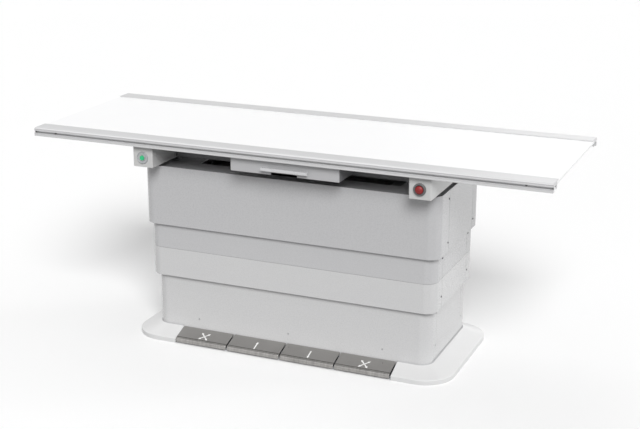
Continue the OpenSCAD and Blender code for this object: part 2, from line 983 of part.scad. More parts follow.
module head_frame() {
    cross_l = middle_w - 2 * (tier_r - head_end_clear);
    color(dark_grey)
        translate([0, 0, head_z]) {
            for (s = [-1, 1]) {
                translate([0, s * head_y, 0])
                    box_tube(2 * arm_x - head_tube_w, head_tube_w, head_h, head_wall);
                translate([s * arm_x, 0, 0])
                    rotate([0, 0, 90])
                        box_tube(cross_l, head_tube_w, head_h, head_wall);
                difference() {
                    translate([s * column_x - head_pad_w / 2, -head_y, 0])
                        cube([head_pad_w, 2 * head_y, head_pad_t]);
                    for (t = [-1, 1])
                        translate([s * column_x, t * (inner_tube_r - 2 * column_wall), -cut])
                            cylinder(r = flange_bolt_r, h = head_pad_t + 2 * cut, $fn = fn_round);
                }
            }
        }
}

module top_deck() {
    deck_l = upper_l - 2 * (tier_wall + seam_strip_t + 2 * seat_gap);
    deck_w = upper_w - 2 * (tier_wall + seat_gap);
    deck_r = tier_r - tier_wall;
    color(dark_grey)
        difference() {
            union() {
                translate([0, 0, deck_z])
                    linear_extrude(deck_t)
                        rounded_rect(deck_l, deck_w, deck_r);
                translate([0, 0, deck_z + deck_t - deck_flange_h])
                    ring_wall(deck_l, deck_w, deck_r, frame_t, deck_flange_h);
            }
            translate([0, 0, deck_z - cut])
                linear_extrude(deck_t + 2 * cut)
                    rounded_rect(2 * deck_window_x, 2 * deck_window_y, deck_window_r);
        }
}

module column_inner_tubes() {
    color(silver)
        for (s = [-1, 1])
            translate([s * column_x, 0, 0]) {
                stage_tube(inner_tube_r, inner_tube_z, head_z);
                translate([0, 0, head_z - column_wall])
                    cylinder(r = inner_tube_r, h = column_wall, $fn = fn_round);
            }
}

// Section of a guide rail, in Y and Z before it is turned; grow widens it
module guide_section(grow) {
    half = guide_w / 2 + grow;
    waist = guide_waist_w / 2 + grow;
    polygon([
        [-half, -grow], [half, -grow], [half, guide_foot_h],
        [waist, guide_foot_h + grow], [waist, guide_foot_h + guide_neck_h - grow],
        [half, guide_foot_h + guide_neck_h], [half, guide_h + grow],
        [-half, guide_h + grow], [-half, guide_foot_h + guide_neck_h],
        [-waist, guide_foot_h + guide_neck_h - grow], [-waist, guide_foot_h + grow],
        [-half, guide_foot_h]]);
}

module cross_rails() {
    bolt_steps = floor((guide_half - guide_bolt_pitch / 2) / guide_bolt_pitch);
    color(silver)
        for (s = [-1, 1])
            translate([s * arm_x, 0, deck_z + deck_t])
                difference() {
                    translate([0, guide_half, 0])
                        rotate([90, 0, 0])
                            linear_extrude(2 * guide_half)
                                guide_section(0);
                    for (i = [-bolt_steps : bolt_steps])
                        translate([0, i * guide_bolt_pitch, guide_h / 2])
                            cylinder(r = guide_bolt_r, h = guide_h, $fn = fn_round);
                }
}

module upper_front_cover() {
    color(grey_paint)
        wrap_cover(upper_l, upper_w, upper_z, cover_top_z, upper_seam_front, -1,
            upper_seam_front, upper_seam_rear, upper_screw_z);
}

module upper_rear_cover() {
    color(grey_paint)
        wrap_cover(upper_l, upper_w, upper_z, cover_top_z, upper_seam_rear, 1,
            upper_seam_front, upper_seam_rear, upper_screw_z);
}

module upper_end_covers() {
    color(grey_paint)
        end_covers(upper_l, upper_w, upper_z, cover_top_z, upper_seam_front, upper_seam_rear,
            upper_screw_z);
}

module upper_screws() {
    color(dark_grey)
        seam_screws(upper_l, upper_seam_front, upper_seam_rear, upper_screw_z);
}

// Carriage

// Upright lugs on an arm's top that carry the roller axles
module arm_lugs() {
    lug_y = roller_y - roller_w / 2 - lug_gap - lug_t;
    for (s = [-1, 1])
        translate([0, s * (lug_y + lug_t / 2) + lug_t / 2, 0])
            rotate([90, 0, 0])
                linear_extrude(lug_t)
                    difference() {
                        union() {
                            polygon([
                                [-lug_w / 2, arm_top_z - cut],
                                [lug_w / 2, arm_top_z - cut],
                                [lug_r, roller_z],
                                [-lug_r, roller_z]]);
                            translate([0, roller_z])
                                circle(r = lug_r, $fn = fn_round);
                        }
                        translate([0, roller_z])
                            circle(r = axle_r + pin_gap, $fn = fn_round);
                    }
}

// One cast arm, ribbed and open below, solid where the blocks bolt on
module arm() {
    pocket_w = arm_w - 2 * arm_wall;
    pocket_h = arm_h - arm_top_t;
    outer_pocket_y0 = block_y + arm_pad_l / 2;
    outer_pocket_l = arm_y - arm_end_solid - outer_pocket_y0;
    inner_pocket_l = 2 * (block_y - arm_pad_l / 2);
    difference() {
        union() {
            translate([0, 0, arm_z])
                linear_extrude(arm_h)
                    rounded_rect(arm_w, 2 * arm_y, arm_r);
            arm_lugs();
        }
        for (s = [-1, 1])
            translate([0, s * (outer_pocket_y0 + outer_pocket_l / 2), arm_z - cut])
                linear_extrude(pocket_h + cut)
                    rounded_rect(pocket_w, outer_pocket_l, arm_pocket_r);
        translate([0, 0, arm_z - cut])
            linear_extrude(pocket_h + cut)
                rounded_rect(pocket_w, inner_pocket_l, arm_pocket_r);
        translate([0, -arm_y - cut, button_z])
            y_rod(bore_r, bore_depth + cut);
    }
}

module left_arm() {
    color(white_paint)
        translate([-arm_x, 0, 0])
            arm();
}

module right_arm() {
    color(white_paint)
        translate([arm_x, 0, 0])
            arm();
}

module bearing_blocks() {
    block_z = deck_z + deck_t + block_lift;
    color(machine_steel)
        for (sx = [-1, 1])
            for (sy = [-1, 1])
                translate([sx * arm_x, sy * block_y, 0])
                    difference() {
                        translate([-block_w / 2, -block_l / 2, block_z])
                            cube([block_w, block_l, arm_z - block_z]);
                        translate([0, block_l, deck_z + deck_t])
                            rotate([90, 0, 0])
                                linear_extrude(2 * block_l)
                                    guide_section(guide_gap);
                    }
}

module roller_axles() {
    lug_in = roller_y - roller_w / 2 - lug_gap - lug_t;
    axle_l = roller_w + lug_gap + lug_t + axle_head_t;
    color(machine_steel)
        for (sx = [-1, 1])
            for (sy = [-1, 1])
                translate([sx * arm_x, sy * lug_in, roller_z])
                    rotate([-sy * 90, 0, 0]) {
                        translate([0, 0, -axle_head_t])
                            cylinder(r = axle_head_r, h = axle_head_t, $fn = fn_round);
                        translate([0, 0, -axle_head_t])
                            cylinder(r = axle_r, h = axle_l + axle_head_t, $fn = fn_round);
                        translate([0, 0, lug_t + seat_gap])
                            cylinder(r = axle_head_r, h = lug_gap - 2 * seat_gap, $fn = fn_round);
                    }
}

// Electromagnetic brakes on the arms' tops, below the tabletop, and under the arms
module brake_magnets() {
    panel_low = table_h - flange_t - panel_t - panel_fit / 2;
    foot_h_free = arm_z - (deck_z + deck_t) - brake_gap;
    color(dark_grey)
        for (sx = [-1, 1])
            translate([sx * arm_x, 0, 0]) {
                for (sy = [-1, 1])
                    translate([0, sy * brake_y, arm_top_z])
                        difference() {
                            linear_extrude(panel_low - brake_gap - arm_top_z)
                                rounded_rect(brake_w, brake_l, brake_r);
                            translate([0, 0, panel_low - brake_gap - arm_top_z - brake_gap])
                                linear_extrude(2 * brake_gap)
                                    difference() {
                                        rounded_rect(brake_w - brake_yoke_t, brake_l - brake_yoke_t,
                                            brake_r);
                                        rounded_rect(brake_w - 2 * brake_yoke_t,
                                            brake_l - 2 * brake_yoke_t, brake_r);
                                    }
                        }
            }
    color(dark_grey)
        for (sx = [-1, 1])
            for (sy = [-1, 1])
                translate([sx * (arm_x - (arm_w + block_w) / 4), sy * block_y,
                    arm_z - foot_h_free])
                    cylinder(r = (arm_w - block_w) / 4 - brake_foot_play, h = foot_h_free,
                        $fn = fn_round);
}

module bucky_rails() {
    span = 2 * arm_x - arm_w - 2 * seat_gap;
    color(dark_grey)
        for (y = brail_places)
            translate([0, y, brail_z]) {
                box_tube(span, brail_w, brail_h, brail_wall);
                for (e = [-1, 1])
                    translate([e * (span / 2 - brail_pad_t / 2) - brail_pad_t / 2,
                        -brail_pad_w / 2, 0])
                        cube([brail_pad_t, brail_pad_w, 2 * brail_h]);
            }
}

// A collar or bezel with its barrel in the arm's bore; X is the arm's middle
module bezel(rim_in, rim_h, shaft) {
    difference() {
        union() {
            translate([0, -rim_h, 0])
                y_rod(bezel_r, rim_h);
            y_rod(barrel_r, barrel_l);
        }
        translate([0, -rim_h - cut, 0])
            y_rod(rim_in, rim_h - bezel_floor_t + cut);
        translate([0, -rim_h - cut, 0])
            y_rod(shaft + pin_gap, rim_h + barrel_l + 2 * cut);
    }
}

module stop_collar() {
    color([0.45, 0.45, 0.46])
        translate([arm_x, -arm_y, button_z])
            bezel(stop_head_r + head_gap, stop_rim_h, shaft_r);
}

module power_bezel() {
    color([0.62, 0.63, 0.64])
        translate([-arm_x, -arm_y, button_z]) {
            bezel(bezel_r - power_rim_w, power_rim_h, shaft_r);
            translate([0, -power_ring_h, 0])
                difference() {
                    y_rod(power_ring_r, power_ring_h - bezel_floor_t + seat_gap);
                    translate([0, -cut, 0])
                        y_rod(power_head_r + head_gap, power_ring_h + 2 * cut);
                }
        }
}

module stop_button() {
    color([0.66, 0.10, 0.10])
        translate([arm_x, -arm_y - stop_head_out, button_z]) {
            translate([0, -stop_head_h + stop_dome, 0])
                y_rod(stop_head_r, stop_head_h - stop_dome);
            translate([0, -stop_head_h + stop_dome, 0])
                rotate([90, 0, 0])
                    cylinder(r1 = stop_head_r, r2 = stop_head_r - stop_dome, h = stop_dome,
                        $fn = fn_round);
            translate([0, -cut, 0])
                y_rod(shaft_r, shaft_l + cut);
        }
}

module power_button() {
    color([0.25, 0.70, 0.35])
        translate([-arm_x, -arm_y - power_head_out, button_z]) {
            translate([0, -power_head_h, 0])
                y_rod(power_head_r, power_head_h);
            translate([0, -cut, 0])
                y_rod(shaft_r, shaft_l + cut);
        }
}

// Tabletop

// Section of a side rail: across from the outer face, then up from the bottom
module rail_section() {
    slot_low = slot_z - slot_mouth / 2;
    slot_high = slot_z + slot_mouth / 2;
    wide_low = slot_z - slot_wide / 2;
    wide_high = slot_z + slot_wide / 2;
    edge_h = rail_h - bevel_h;
    slot_roof = rail_h - flange_t;
    panel_low = slot_roof - panel_t - panel_fit;
    seat_u = rail_w - panel_grip;
    leg_u = seat_u - channel_leg;
    polygon([
        [0, 0], [0, ridge_low], [ridge_t, ridge_low + ridge_t],
        [ridge_t, wide_low - ridge_t / 2], [0, wide_low + ridge_t / 2],
        [0, slot_low], [slot_lip, slot_low], [slot_lip, wide_low],
        [slot_depth, wide_low], [slot_depth, wide_high], [slot_lip, wide_high],
        [slot_lip, slot_high], [0, slot_high],
        [0, wide_high - ridge_t / 2], [ridge_t, wide_high + ridge_t / 2],
        [ridge_t, edge_h - ridge_low], [0, edge_h - ridge_low + ridge_t],
        [0, edge_h], [bevel_w, rail_h],
        [rail_w, rail_h], [rail_w, slot_roof], [seat_u, slot_roof],
        [seat_u, panel_low], [rail_w, panel_low], [rail_w, panel_low - ledge_t],
        [seat_u, panel_low - ledge_t], [seat_u, leg_drop], [leg_u, leg_drop],
        [leg_u, channel_roof], [channel_wall, channel_roof], [channel_wall, 0]]);
}

// One side rail along X, its outer face on the tabletop's front edge
module rail() {
    translate([-table_l / 2 + cap_t, -table_w / 2, rail_z])
        along_x(table_l - 2 * cap_t)
            rail_section();
}

module front_rail() {
    color(silver)
        rail();
}

module rear_rail() {
    color(silver)
        mirror([0, 1, 0])
            rail();
}

module table_panel() {
    panel_w = table_w - 2 * (rail_w - panel_grip) - 2 * panel_fit;
    color("white")
        translate([-table_l / 2, -panel_w / 2, table_h - flange_t - panel_t - panel_fit / 2])
            cube([table_l, panel_w, panel_t]);
}

// End cap of a rail: the section's outline with a notch for the rollers' way
module end_cap_section() {
    difference() {
        polygon([
            [0, 0], [0, rail_h - bevel_h], [bevel_w, rail_h], [rail_w, rail_h],
            [rail_w, rail_h - flange_t], [rail_w - panel_grip - panel_fit, rail_h - flange_t],
            [rail_w - panel_grip - panel_fit, leg_drop], [rail_w - panel_grip - cap_notch_w / 2, 0]]);
        translate([channel_wall + cap_t, -cut])
            square([cap_notch_w, cap_notch_h + cut]);
    }
}

module rail_end_caps() {
    color(silver)
        for (sx = [0, 1])
            for (sy = [0, 1])
                mirror([sx, 0, 0])
                    mirror([0, sy, 0])
                        translate([table_l / 2 - cap_t, -table_w / 2, rail_z])
                            along_x(cap_t)
                                end_cap_section();
}

module rail_screws() {
    color(dark_grey)
        for (sx = [-1, 1])
            for (sy = [-1, 1])
                translate([sx * (table_l / 2 - rail_screw_x), sy * (table_w / 2 - slot_depth),
                    rail_z + slot_z])
                    rotate([-sy * 90, 0, 0])
                        difference() {
                            cylinder(r = rail_screw_r, h = rail_screw_t, $fn = fn_round);
                            translate([0, 0, rail_screw_t / 2])
                                cylinder(r = rail_screw_r / 2, h = rail_screw_t, $fn = 6);
                        }
}

// A rail roller at one corner of the carriage
module roller(sx, sy) {
    color(machine_steel)
        translate([sx * arm_x, sy * roller_y, roller_z])
            translate([0, -roller_w / 2, 0])
                difference() {
                    y_rod(roller_r, roller_w);
                    translate([0, -cut, 0])
                        y_rod(axle_r + pin_gap, roller_w + 2 * cut);
                    for (e = [0, 1])
                        translate([0, e * roller_w - roller_groove, 0])
                            difference() {
                                y_rod(roller_r - 2 * roller_groove, 2 * roller_groove);
                                translate([0, -cut, 0])
                                    y_rod(axle_r + 2 * roller_groove,
                                        2 * roller_groove + 2 * cut);
                            }
                }
}

module roller_front_left() { roller(-1, -1); }
module roller_front_right() { roller(1, -1); }
module roller_rear_left() { roller(-1, 1); }
module roller_rear_right() { roller(1, 1); }

// Cassette unit

module bucky_housing() {
    runner_low_z = tray_z - runner_play - runner_t;
    runner_high_z = tray_z + tray_t + runner_play;
    ledge_z = bucky_z + bucky_h - grid_t - runner_t;
    color(dark_grey)
        translate([bucky_x, bucky_front_y, 0]) {
            difference() {
                translate([-bucky_w / 2, 0, bucky_z])
                    cube([bucky_w, bucky_d, bucky_h]);
                translate([-bucky_in_w / 2, -cut, bucky_z + bucky_floor_t])
                    cube([bucky_in_w, bucky_d - bucky_wall + cut, bucky_h]);
            }
            for (s = [-1, 1]) {
                for (z = [runner_low_z, runner_high_z])
                    translate([s * (bucky_in_w / 2 - runner_w / 2) - runner_w / 2, 0, z])
                        cube([runner_w, bucky_d - bucky_wall, runner_t]);
                translate([s * (bucky_in_w / 2 - grid_ledge / 2) - grid_ledge / 2, 0, ledge_z])
                    cube([grid_ledge, bucky_d - bucky_wall, runner_t]);
            }
            for (sx = [-1, 1])
                for (y = brail_places)
                    translate([sx * (bucky_w / 2 - shoe_l) - shoe_l / 2,
                        y - bucky_front_y, bucky_z])
                        rail_shoe();
        }
}

// A shoe that straddles a cassette rail, its top face at zero
module rail_shoe() {
    shoe_in = brail_w + 2 * shoe_gap;
    shoe_w = shoe_in + 2 * shoe_t;
    difference() {
        translate([0, -shoe_w / 2, -shoe_t - shoe_lip])
            cube([shoe_l, shoe_w, shoe_t + shoe_lip]);
        translate([-cut, -shoe_in / 2, -shoe_t - shoe_lip - cut])
            cube([shoe_l + 2 * cut, shoe_in, shoe_lip + cut + shoe_gap]);
    }
}

module bucky_grid() {
    grid_l = bucky_in_w - 2 * seat_gap;
    grid_w = bucky_d - bucky_wall - 2 * seat_gap;
    color(silver)
        translate([bucky_x, bucky_front_y + (bucky_d - bucky_wall) / 2,
            bucky_z + bucky_h - grid_t])
            difference() {
                translate([-grid_l / 2, -grid_w / 2, 0])
                    cube([grid_l, grid_w, grid_t]);
                translate([0, 0, grid_skin])
                    linear_extrude(grid_t)
                        rounded_rect(grid_l - 2 * grid_rim, grid_w - 2 * grid_rim, grid_rim / 2);
            }
}

module tray_front() {
    front_z = bucky_z;
    color(grey_paint)
        translate([bucky_x, -arm_y, 0]) {
            difference() {
                translate([0, tray_front_t, front_z + tray_front_h / 2])
                    rotate([90, 0, 0])
                        linear_extrude(tray_front_t)
                            rounded_rect(bucky_w, tray_front_h, tray_corner_r);
                translate([-tray_notch_w / 2, -cut, front_z - cut])
                    cube([tray_notch_w, tray_front_t + 2 * cut, tray_notch_h + cut]);
            }
            translate([-bucky_in_w / 2 + runner_w + tray_play, tray_front_t - cut,
                tray_z + tray_t])
                cube([bucky_in_w - 2 * (runner_w + tray_play), tray_lip + cut, tray_t]);
        }
}

module tray_plate() {
    plate_w = bucky_in_w - 2 * tray_play;
    color(silver)
        translate([bucky_x, -arm_y + tray_front_t, tray_z])
            difference() {
                translate([-plate_w / 2, 0, 0])
                    cube([plate_w, tray_d, tray_t]);
                for (s = [-1, 1])
                    translate([0, arm_y - tray_front_t + jaw_middle_y
                        + s * (jaw_y - jaw_travel / 2), -cut])
                        linear_extrude(tray_t + 2 * cut)
                            rounded_rect(jaw_tongue_w + 2 * jaw_grip_gap,
                                jaw_travel + jaw_tongue_w + 2 * jaw_grip_gap, jaw_tongue_w);
            }
}

// One clamp jaw, side -1 in front and 1 behind, its tongue in the tray's slot
module jaw(side) {
    color(dark_grey)
        translate([bucky_x, jaw_middle_y + side * jaw_y, tray_z + tray_t]) {
            translate([-jaw_l / 2, -jaw_t / 2, jaw_grip_gap])
                cube([jaw_l, jaw_t, jaw_h - 2 * jaw_grip_gap]);
            translate([-jaw_l / 2, -jaw_t / 2 - side * jaw_lip, jaw_grip_gap])
                cube([jaw_l, jaw_t, jaw_lip]);
            translate([0, 0, -tray_t])
                cylinder(r = jaw_tongue_w / 2, h = tray_t + jaw_h / 2, $fn = fn_round);
        }
}

module front_jaw() { jaw(-1); }
module rear_jaw() { jaw(1); }

module tray_handle() {
    post_t = handle_out - handle_t;
    color(silver)
        translate([bucky_x + handle_x, -arm_y, handle_z]) {
            translate([0, -post_t, handle_h / 2])
                rotate([90, 0, 0])
                    linear_extrude(handle_t)
                        rounded_rect(handle_l, handle_h, handle_r);
            for (s = [-1, 1])
                translate([s * (handle_l / 2 - handle_post_l) - handle_post_l / 2, -post_t - cut,
                    handle_h / 4])
                    cube([handle_post_l, post_t + cut, handle_h / 2]);
        }
}

base_plate();
cover_frame();
base_cover();
foot_gasket();
lower_front_cover();
lower_rear_cover();
lower_end_covers();
lower_screws();
column_outer_tubes();
control_box();
mains_gland();
pedal_brackets();
pedal_pins();
pedal_switches();
middle_frame();
column_middle_tubes();
upper_band_front();
upper_band_rear();
lower_band_front();
lower_band_rear();
middle_end_covers();
middle_screws();
head_frame();
top_deck();
column_inner_tubes();
cross_rails();
upper_front_cover();
upper_rear_cover();
upper_end_covers();
upper_screws();
left_arm();
right_arm();
bearing_blocks();
roller_axles();
brake_magnets();
bucky_rails();
stop_collar();
power_bezel();
table_panel();
front_rail();
rear_rail();
rail_end_caps();
rail_screws();
roller_front_left();
roller_front_right();
roller_rear_left();
roller_rear_right();
bucky_housing();
bucky_grid();
tray_front();
tray_plate();
tray_handle();
front_jaw();
rear_jaw();
stop_button();
power_button();
pedal_1();
pedal_2();
pedal_3();
pedal_4();
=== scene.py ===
"""Looks of an elevating float-top radiography table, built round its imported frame."""

import json
import logging
import math
from dataclasses import dataclass, field
from enum import Enum

import bmesh
import bpy
import numpy as np
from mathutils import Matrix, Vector


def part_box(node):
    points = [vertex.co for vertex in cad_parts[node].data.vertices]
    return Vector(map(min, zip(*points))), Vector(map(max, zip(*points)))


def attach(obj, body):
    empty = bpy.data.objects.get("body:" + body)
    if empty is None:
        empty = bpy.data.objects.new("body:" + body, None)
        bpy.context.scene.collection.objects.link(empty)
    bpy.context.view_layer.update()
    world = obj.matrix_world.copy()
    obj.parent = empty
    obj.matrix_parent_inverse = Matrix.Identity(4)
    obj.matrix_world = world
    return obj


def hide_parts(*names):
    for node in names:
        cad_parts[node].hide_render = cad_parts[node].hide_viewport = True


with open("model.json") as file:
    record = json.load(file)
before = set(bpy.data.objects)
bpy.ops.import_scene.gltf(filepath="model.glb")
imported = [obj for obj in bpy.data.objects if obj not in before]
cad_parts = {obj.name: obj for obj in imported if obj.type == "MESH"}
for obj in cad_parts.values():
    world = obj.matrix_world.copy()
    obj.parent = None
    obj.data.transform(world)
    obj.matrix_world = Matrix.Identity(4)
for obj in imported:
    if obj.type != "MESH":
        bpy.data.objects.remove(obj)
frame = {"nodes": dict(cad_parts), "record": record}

LOG = logging.getLogger("radiography_table")
MM = 0.001
WELD = 2e-6
SHARP_ABOVE = 32.0
BEVEL_ABOVE = 40.0
Array = np.ndarray
Skin = tuple[Array, list]


def linear(code: str) -> tuple[float, float, float, float]:
    """Turn an sRGB hex colour into linear light.

    Args:
        code: six hex digits, with or without a leading hash.

    Returns:
        Red, green, blue and an alpha of one.
    """
    digits = code.lstrip("#")
    value = np.array([int(digits[i : i + 2], 16) for i in (0, 2, 4)]) / 255.0
    light = np.where(value <= 0.04045, value / 12.92, ((value + 0.055) / 1.055) ** 2.4)
    return (float(light[0]), float(light[1]), float(light[2]), 1.0)


def add_node(tree: bpy.types.NodeTree, kind: str, settings: dict | None = None,
             links: dict | None = None) -> bpy.types.Node:
    """Add one shader node.

    Args:
        tree: the node tree that gets it.
        kind: the node's type name.
        settings: values by input name or index, or by the node's own property.
        links: output sockets by input name or index.

    Returns:
        The new node.
    """
    made = tree.nodes.new(kind)
    given = settings or {}
    is_input = {key: isinstance(key, int) or key in made.inputs for key in given}
    for key in sorted(given, key=lambda k: is_input[k]):
        if is_input[key]:
            made.inputs[key].default_value = given[key]
        else:
            setattr(made, key, given[key])
    for key, source in (links or {}).items():
        tree.links.new(source, made.inputs[key])
    return made


def highest(tree: bpy.types.NodeTree, *sockets: bpy.types.NodeSocket) -> bpy.types.NodeSocket:
    """The highest of several values, which for ray flags says whether any of them is set."""
    top = sockets[0]
    for other in sockets[1:]:
        top = add_node(tree, "ShaderNodeMath", {"operation": "MAXIMUM"},
                       {0: top, 1: other}).outputs[0]
    return top


class Grain(Enum):
    """Surface grain of a finish: the size of one grain along X, Y and Z, in millimetres."""

    PEEL = (3.2, 3.2, 3.2)
    POWDER = (1.3, 1.3, 1.3)
    LAMINATE = (0.9, 0.9, 0.9)
    DRAWN = (520.0, 0.9, 0.9)
    BRUSHED = (46.0, 0.8, 0.8)
    GROUND = (0.7, 0.7, 30.0)
    ROLLED = (60.0, 9.0, 9.0)
    STREAKED = (7.0, 60.0, 60.0)
    MOULDED = (0.8, 0.8, 0.8)
    FLAT = (40.0, 40.0, 40.0)


@dataclass(frozen=True)
class Finish:
    """One real finish: its colour, gloss and grain.

    The tone drifts between two colours over a large soft noise, and the grain's own
    noise shades the colour a little, moves the roughness and lifts the bump. The tone's
    size and the relief are in millimetres.
    """

    name: str
    slot: str
    colour: str
    drift: str
    grain: Grain
    metallic: float = 0.0
    roughness: tuple[float, float] = (0.4, 0.5)
    relief: float = 0.01
    tone: float = 260.0
    shade: float = 0.04
    coat: float = 0.0
    coat_roughness: float = 0.1
    glow: float = 0.0

    def material(self) -> bpy.types.Material:
        """Build the material once, and return it each time after."""
        found = bpy.data.materials.get(self.name)
        if found is not None and found.get("made_here"):
            return found
        made = bpy.data.materials.new(self.name)
        made["made_here"] = True
        made.use_nodes = True
        tree = made.node_tree
        tree.nodes.clear()
        place = add_node(tree, "ShaderNodeTexCoord").outputs["Object"]

        def noise(sizes: tuple, detail: float, roughness: float) -> bpy.types.NodeSocket:
            """Noise in object space, its grains of the given sizes in millimetres."""
            scaled = add_node(tree, "ShaderNodeMapping",
                              {"Scale": tuple(1 / (s * MM) for s in sizes)}, {"Vector": place})
            return add_node(tree, "ShaderNodeTexNoise",
                            {"Scale": 1.0, "Detail": detail, "Roughness": roughness},
                            {"Vector": scaled.outputs[0]}).outputs[0]

        def ranged(low: float, high: float) -> bpy.types.NodeSocket:
            """The grain's noise, most of which lies from 0.3 to 0.7, spread from low to high."""
            return add_node(tree, "ShaderNodeMapRange",
                            {"From Min": 0.3, "From Max": 0.7, "To Min": low, "To Max": high},
                            {"Value": grit}).outputs[0]

        cloud = noise((self.tone,) * 3, 2.0, 0.5)
        grit = noise(self.grain.value, 3.0, 0.6)
        drift = add_node(tree, "ShaderNodeMix",
                         {"data_type": "RGBA", 6: linear(self.colour), 7: linear(self.drift)},
                         {0: cloud})
        shaded = add_node(tree, "ShaderNodeMix",
                          {"data_type": "RGBA", "blend_type": "MULTIPLY", 0: 1.0},
                          {6: drift.outputs[2], 7: ranged(1.0 - self.shade, 1.0 + self.shade / 2)})
        bump = add_node(tree, "ShaderNodeBump", {"Strength": 1.0, "Distance": self.relief * MM},
                        {"Height": grit})
        settings = {"Metallic": self.metallic, "Coat Weight": self.coat,
                    "Coat Roughness": self.coat_roughness}
        if self.glow:
            settings["Emission Color"] = linear(self.colour)
            settings["Emission Strength"] = self.glow
        shader = add_node(tree, "ShaderNodeBsdfPrincipled", settings,
                          {"Base Color": shaded.outputs[2], "Roughness": ranged(*self.roughness),
                           "Normal": bump.outputs[0]})
        add_node(tree, "ShaderNodeOutputMaterial", None, {"Surface": shader.outputs[0]})
        return made


# Stoved enamel on sheet steel: an even grey with a soft gloss and faint orange peel
ENAMEL = dict(grain=Grain.PEEL, roughness=(0.24, 0.32), relief=0.006, shade=0.006, coat=0.5,
              coat_roughness=0.08, tone=420.0)
# The lower tier and the low band: light grey
COVER_ENAMEL = Finish("cover_stoved_enamel", "cover_paint", "#CECECE", "#CBCBCC", **ENAMEL)
# The upper tier: the darker grey of a two-tone paint, darkened further as painted shade of the
# tabletop above it
UPPER_ENAMEL_AND_PAINTED_SHADE = Finish("upper_enamel_and_painted_shade", "cover_paint", "#BFBFC0", "#BBBBBD", **ENAMEL)
# The high band of the middle tier, close to the upper tier's grey
BAND_ENAMEL = Finish("band_stoved_enamel", "band_paint", "#C2C2C3", "#BEBEC0", **ENAMEL)
# Semi-gloss powder paint on the cast arms: pale, finely pebbled
ARM_POWDER = Finish("arm_powder_paint", "white_paint", "#C9C9C8", "#C5C5C5", Grain.POWDER,
                    roughness=(0.34, 0.46), relief=0.02, shade=0.012)
# Smooth white paint on the pressed base cover
BASE_PAINT = Finish("base_sprayed_paint", "base_paint", "#E0E0E0", "#DCDCDC", Grain.PEEL,
                    roughness=(0.28, 0.36), relief=0.010, shade=0.008, coat=0.2)
# Melamine laminate: pure white, faintly grained, low gloss
LAMINATE = Finish("top_white_laminate", "laminate", "#FAFAFA", "#F7F7F8", Grain.LAMINATE,
                  roughness=(0.30, 0.40), relief=0.006, shade=0.006)
# Clear anodised extrusion: milky silver with long, faint die lines
RAIL_ALUMINIUM = Finish("rail_anodised_extrusion", "rail_alu", "#C9C9CA", "#C6C6C7", Grain.DRAWN,
                        metallic=0.5, roughness=(0.30, 0.36), relief=0.0008, shade=0.012)
# Satin anodised bar: pale and milky over the metal, finely brushed along its length
HANDLE_ALUMINIUM = Finish("handle_satin_bar", "bar_alu", "#D0D0D1", "#CBCBCD", Grain.BRUSHED,
                          metallic=0.35, roughness=(0.24, 0.34), relief=0.002, shade=0.03)
# Brushed stainless sheet: warm mid grey, brush lines along the pedals
PEDAL_STAINLESS = Finish("pedal_brushed_stainless", "pedal_steel", "#B0AEAC", "#A8A6A3",
                         Grain.BRUSHED, metallic=1.0, roughness=(0.36, 0.52), relief=0.010,
                         shade=0.09, tone=180.0)
# The same sheet past its bend: cloudy streaks run down the skirt
SKIRT_STAINLESS = Finish("pedal_skirt_stainless", "pedal_steel", "#AEACAA", "#9E9C99",
                         Grain.STREAKED, metallic=1.0, roughness=(0.28, 0.46), relief=0.012,
                         shade=0.22, tone=140.0)
# Dark, dull steel: painted shade on the floor of the groove behind the pedals' bend, too thin to
# shade itself; the pedals' round marks share it
GROOVE_SHADE_AND_MARK_STEEL = Finish("pedal_groove_shade_and_mark_steel", "pedal_steel", "#5C5A57", "#55534F",
                      Grain.BRUSHED, metallic=0.6, roughness=(0.5, 0.65), relief=0.004)
# Zinc plated steel: dull, faintly clouded silver
ZINC_STEEL = Finish("frame_zinc_plated_steel", "steel", "#A9ABAE", "#9EA0A5", Grain.FLAT,
                    metallic=1.0, roughness=(0.38, 0.55), relief=0.01, tone=90.0, shade=0.06)
# Ground and hard chromed tube: bright with fine lines round it
CHROME_TUBE = Finish("column_hard_chrome", "tube_steel", "#C6C8CC", "#BFC1C6", Grain.GROUND,
                     metallic=1.0, roughness=(0.12, 0.24), relief=0.003, shade=0.03)
# Dark grey textured powder paint: matt and pebbled
DARK_POWDER = Finish("frame_dark_powder_paint", "dark_paint", "#868688", "#808082", Grain.POWDER,
                     roughness=(0.50, 0.66), relief=0.045, shade=0.10)
# The same powder paint on the deck, made a lighter grey as painted light for the deck's deep shade
# under the top
DECK_POWDER_PAINTED_LIGHT = Finish("deck_powder_paint_painted_light", "dark_paint", "#B4B4B6", "#AEAEB0", Grain.POWDER,
                     roughness=(0.50, 0.66), relief=0.045, shade=0.08)
# Black glass-filled nylon: matt, slightly mottled
BLACK_NYLON = Finish("switch_black_nylon", "black_plastic", "#1D1D1F", "#232325", Grain.MOULDED,
                     roughness=(0.42, 0.58), relief=0.02, shade=0.10)
# Soft extruded seal, matt: its pale grey is darkened as painted shade, for the dark line at the
# lower tier's foot
SEAL_RUBBER_PAINTED_SHADE = Finish("foot_seal_rubber_painted_shade", "gasket", "#BEBEBF", "#B5B5B7", Grain.ROLLED,
                     roughness=(0.55, 0.7), relief=0.01, shade=0.04)
# Black oxide screws: near black with a dull metallic edge
SCREW_OXIDE = Finish("screw_black_oxide", "screw_steel", "#6E6E70", "#626264", Grain.MOULDED,
                     metallic=0.9, roughness=(0.34, 0.5), relief=0.004, shade=0.08)
# Zinc plated screws: the same heads in a dull light grey
SCREW_ZINC = Finish("screw_zinc_plated", "screw_steel", "#B9B9BA", "#ACACAE", Grain.MOULDED,
                    metallic=0.8, roughness=(0.4, 0.55), relief=0.004, shade=0.06)
# Grey ABS collar of the stop button: fine moulded texture
COLLAR_ABS = Finish("stop_collar_moulded_abs", "collar_plastic", "#6B6B6B", "#646465",
                    Grain.MOULDED, roughness=(0.36, 0.5), relief=0.012, shade=0.05)
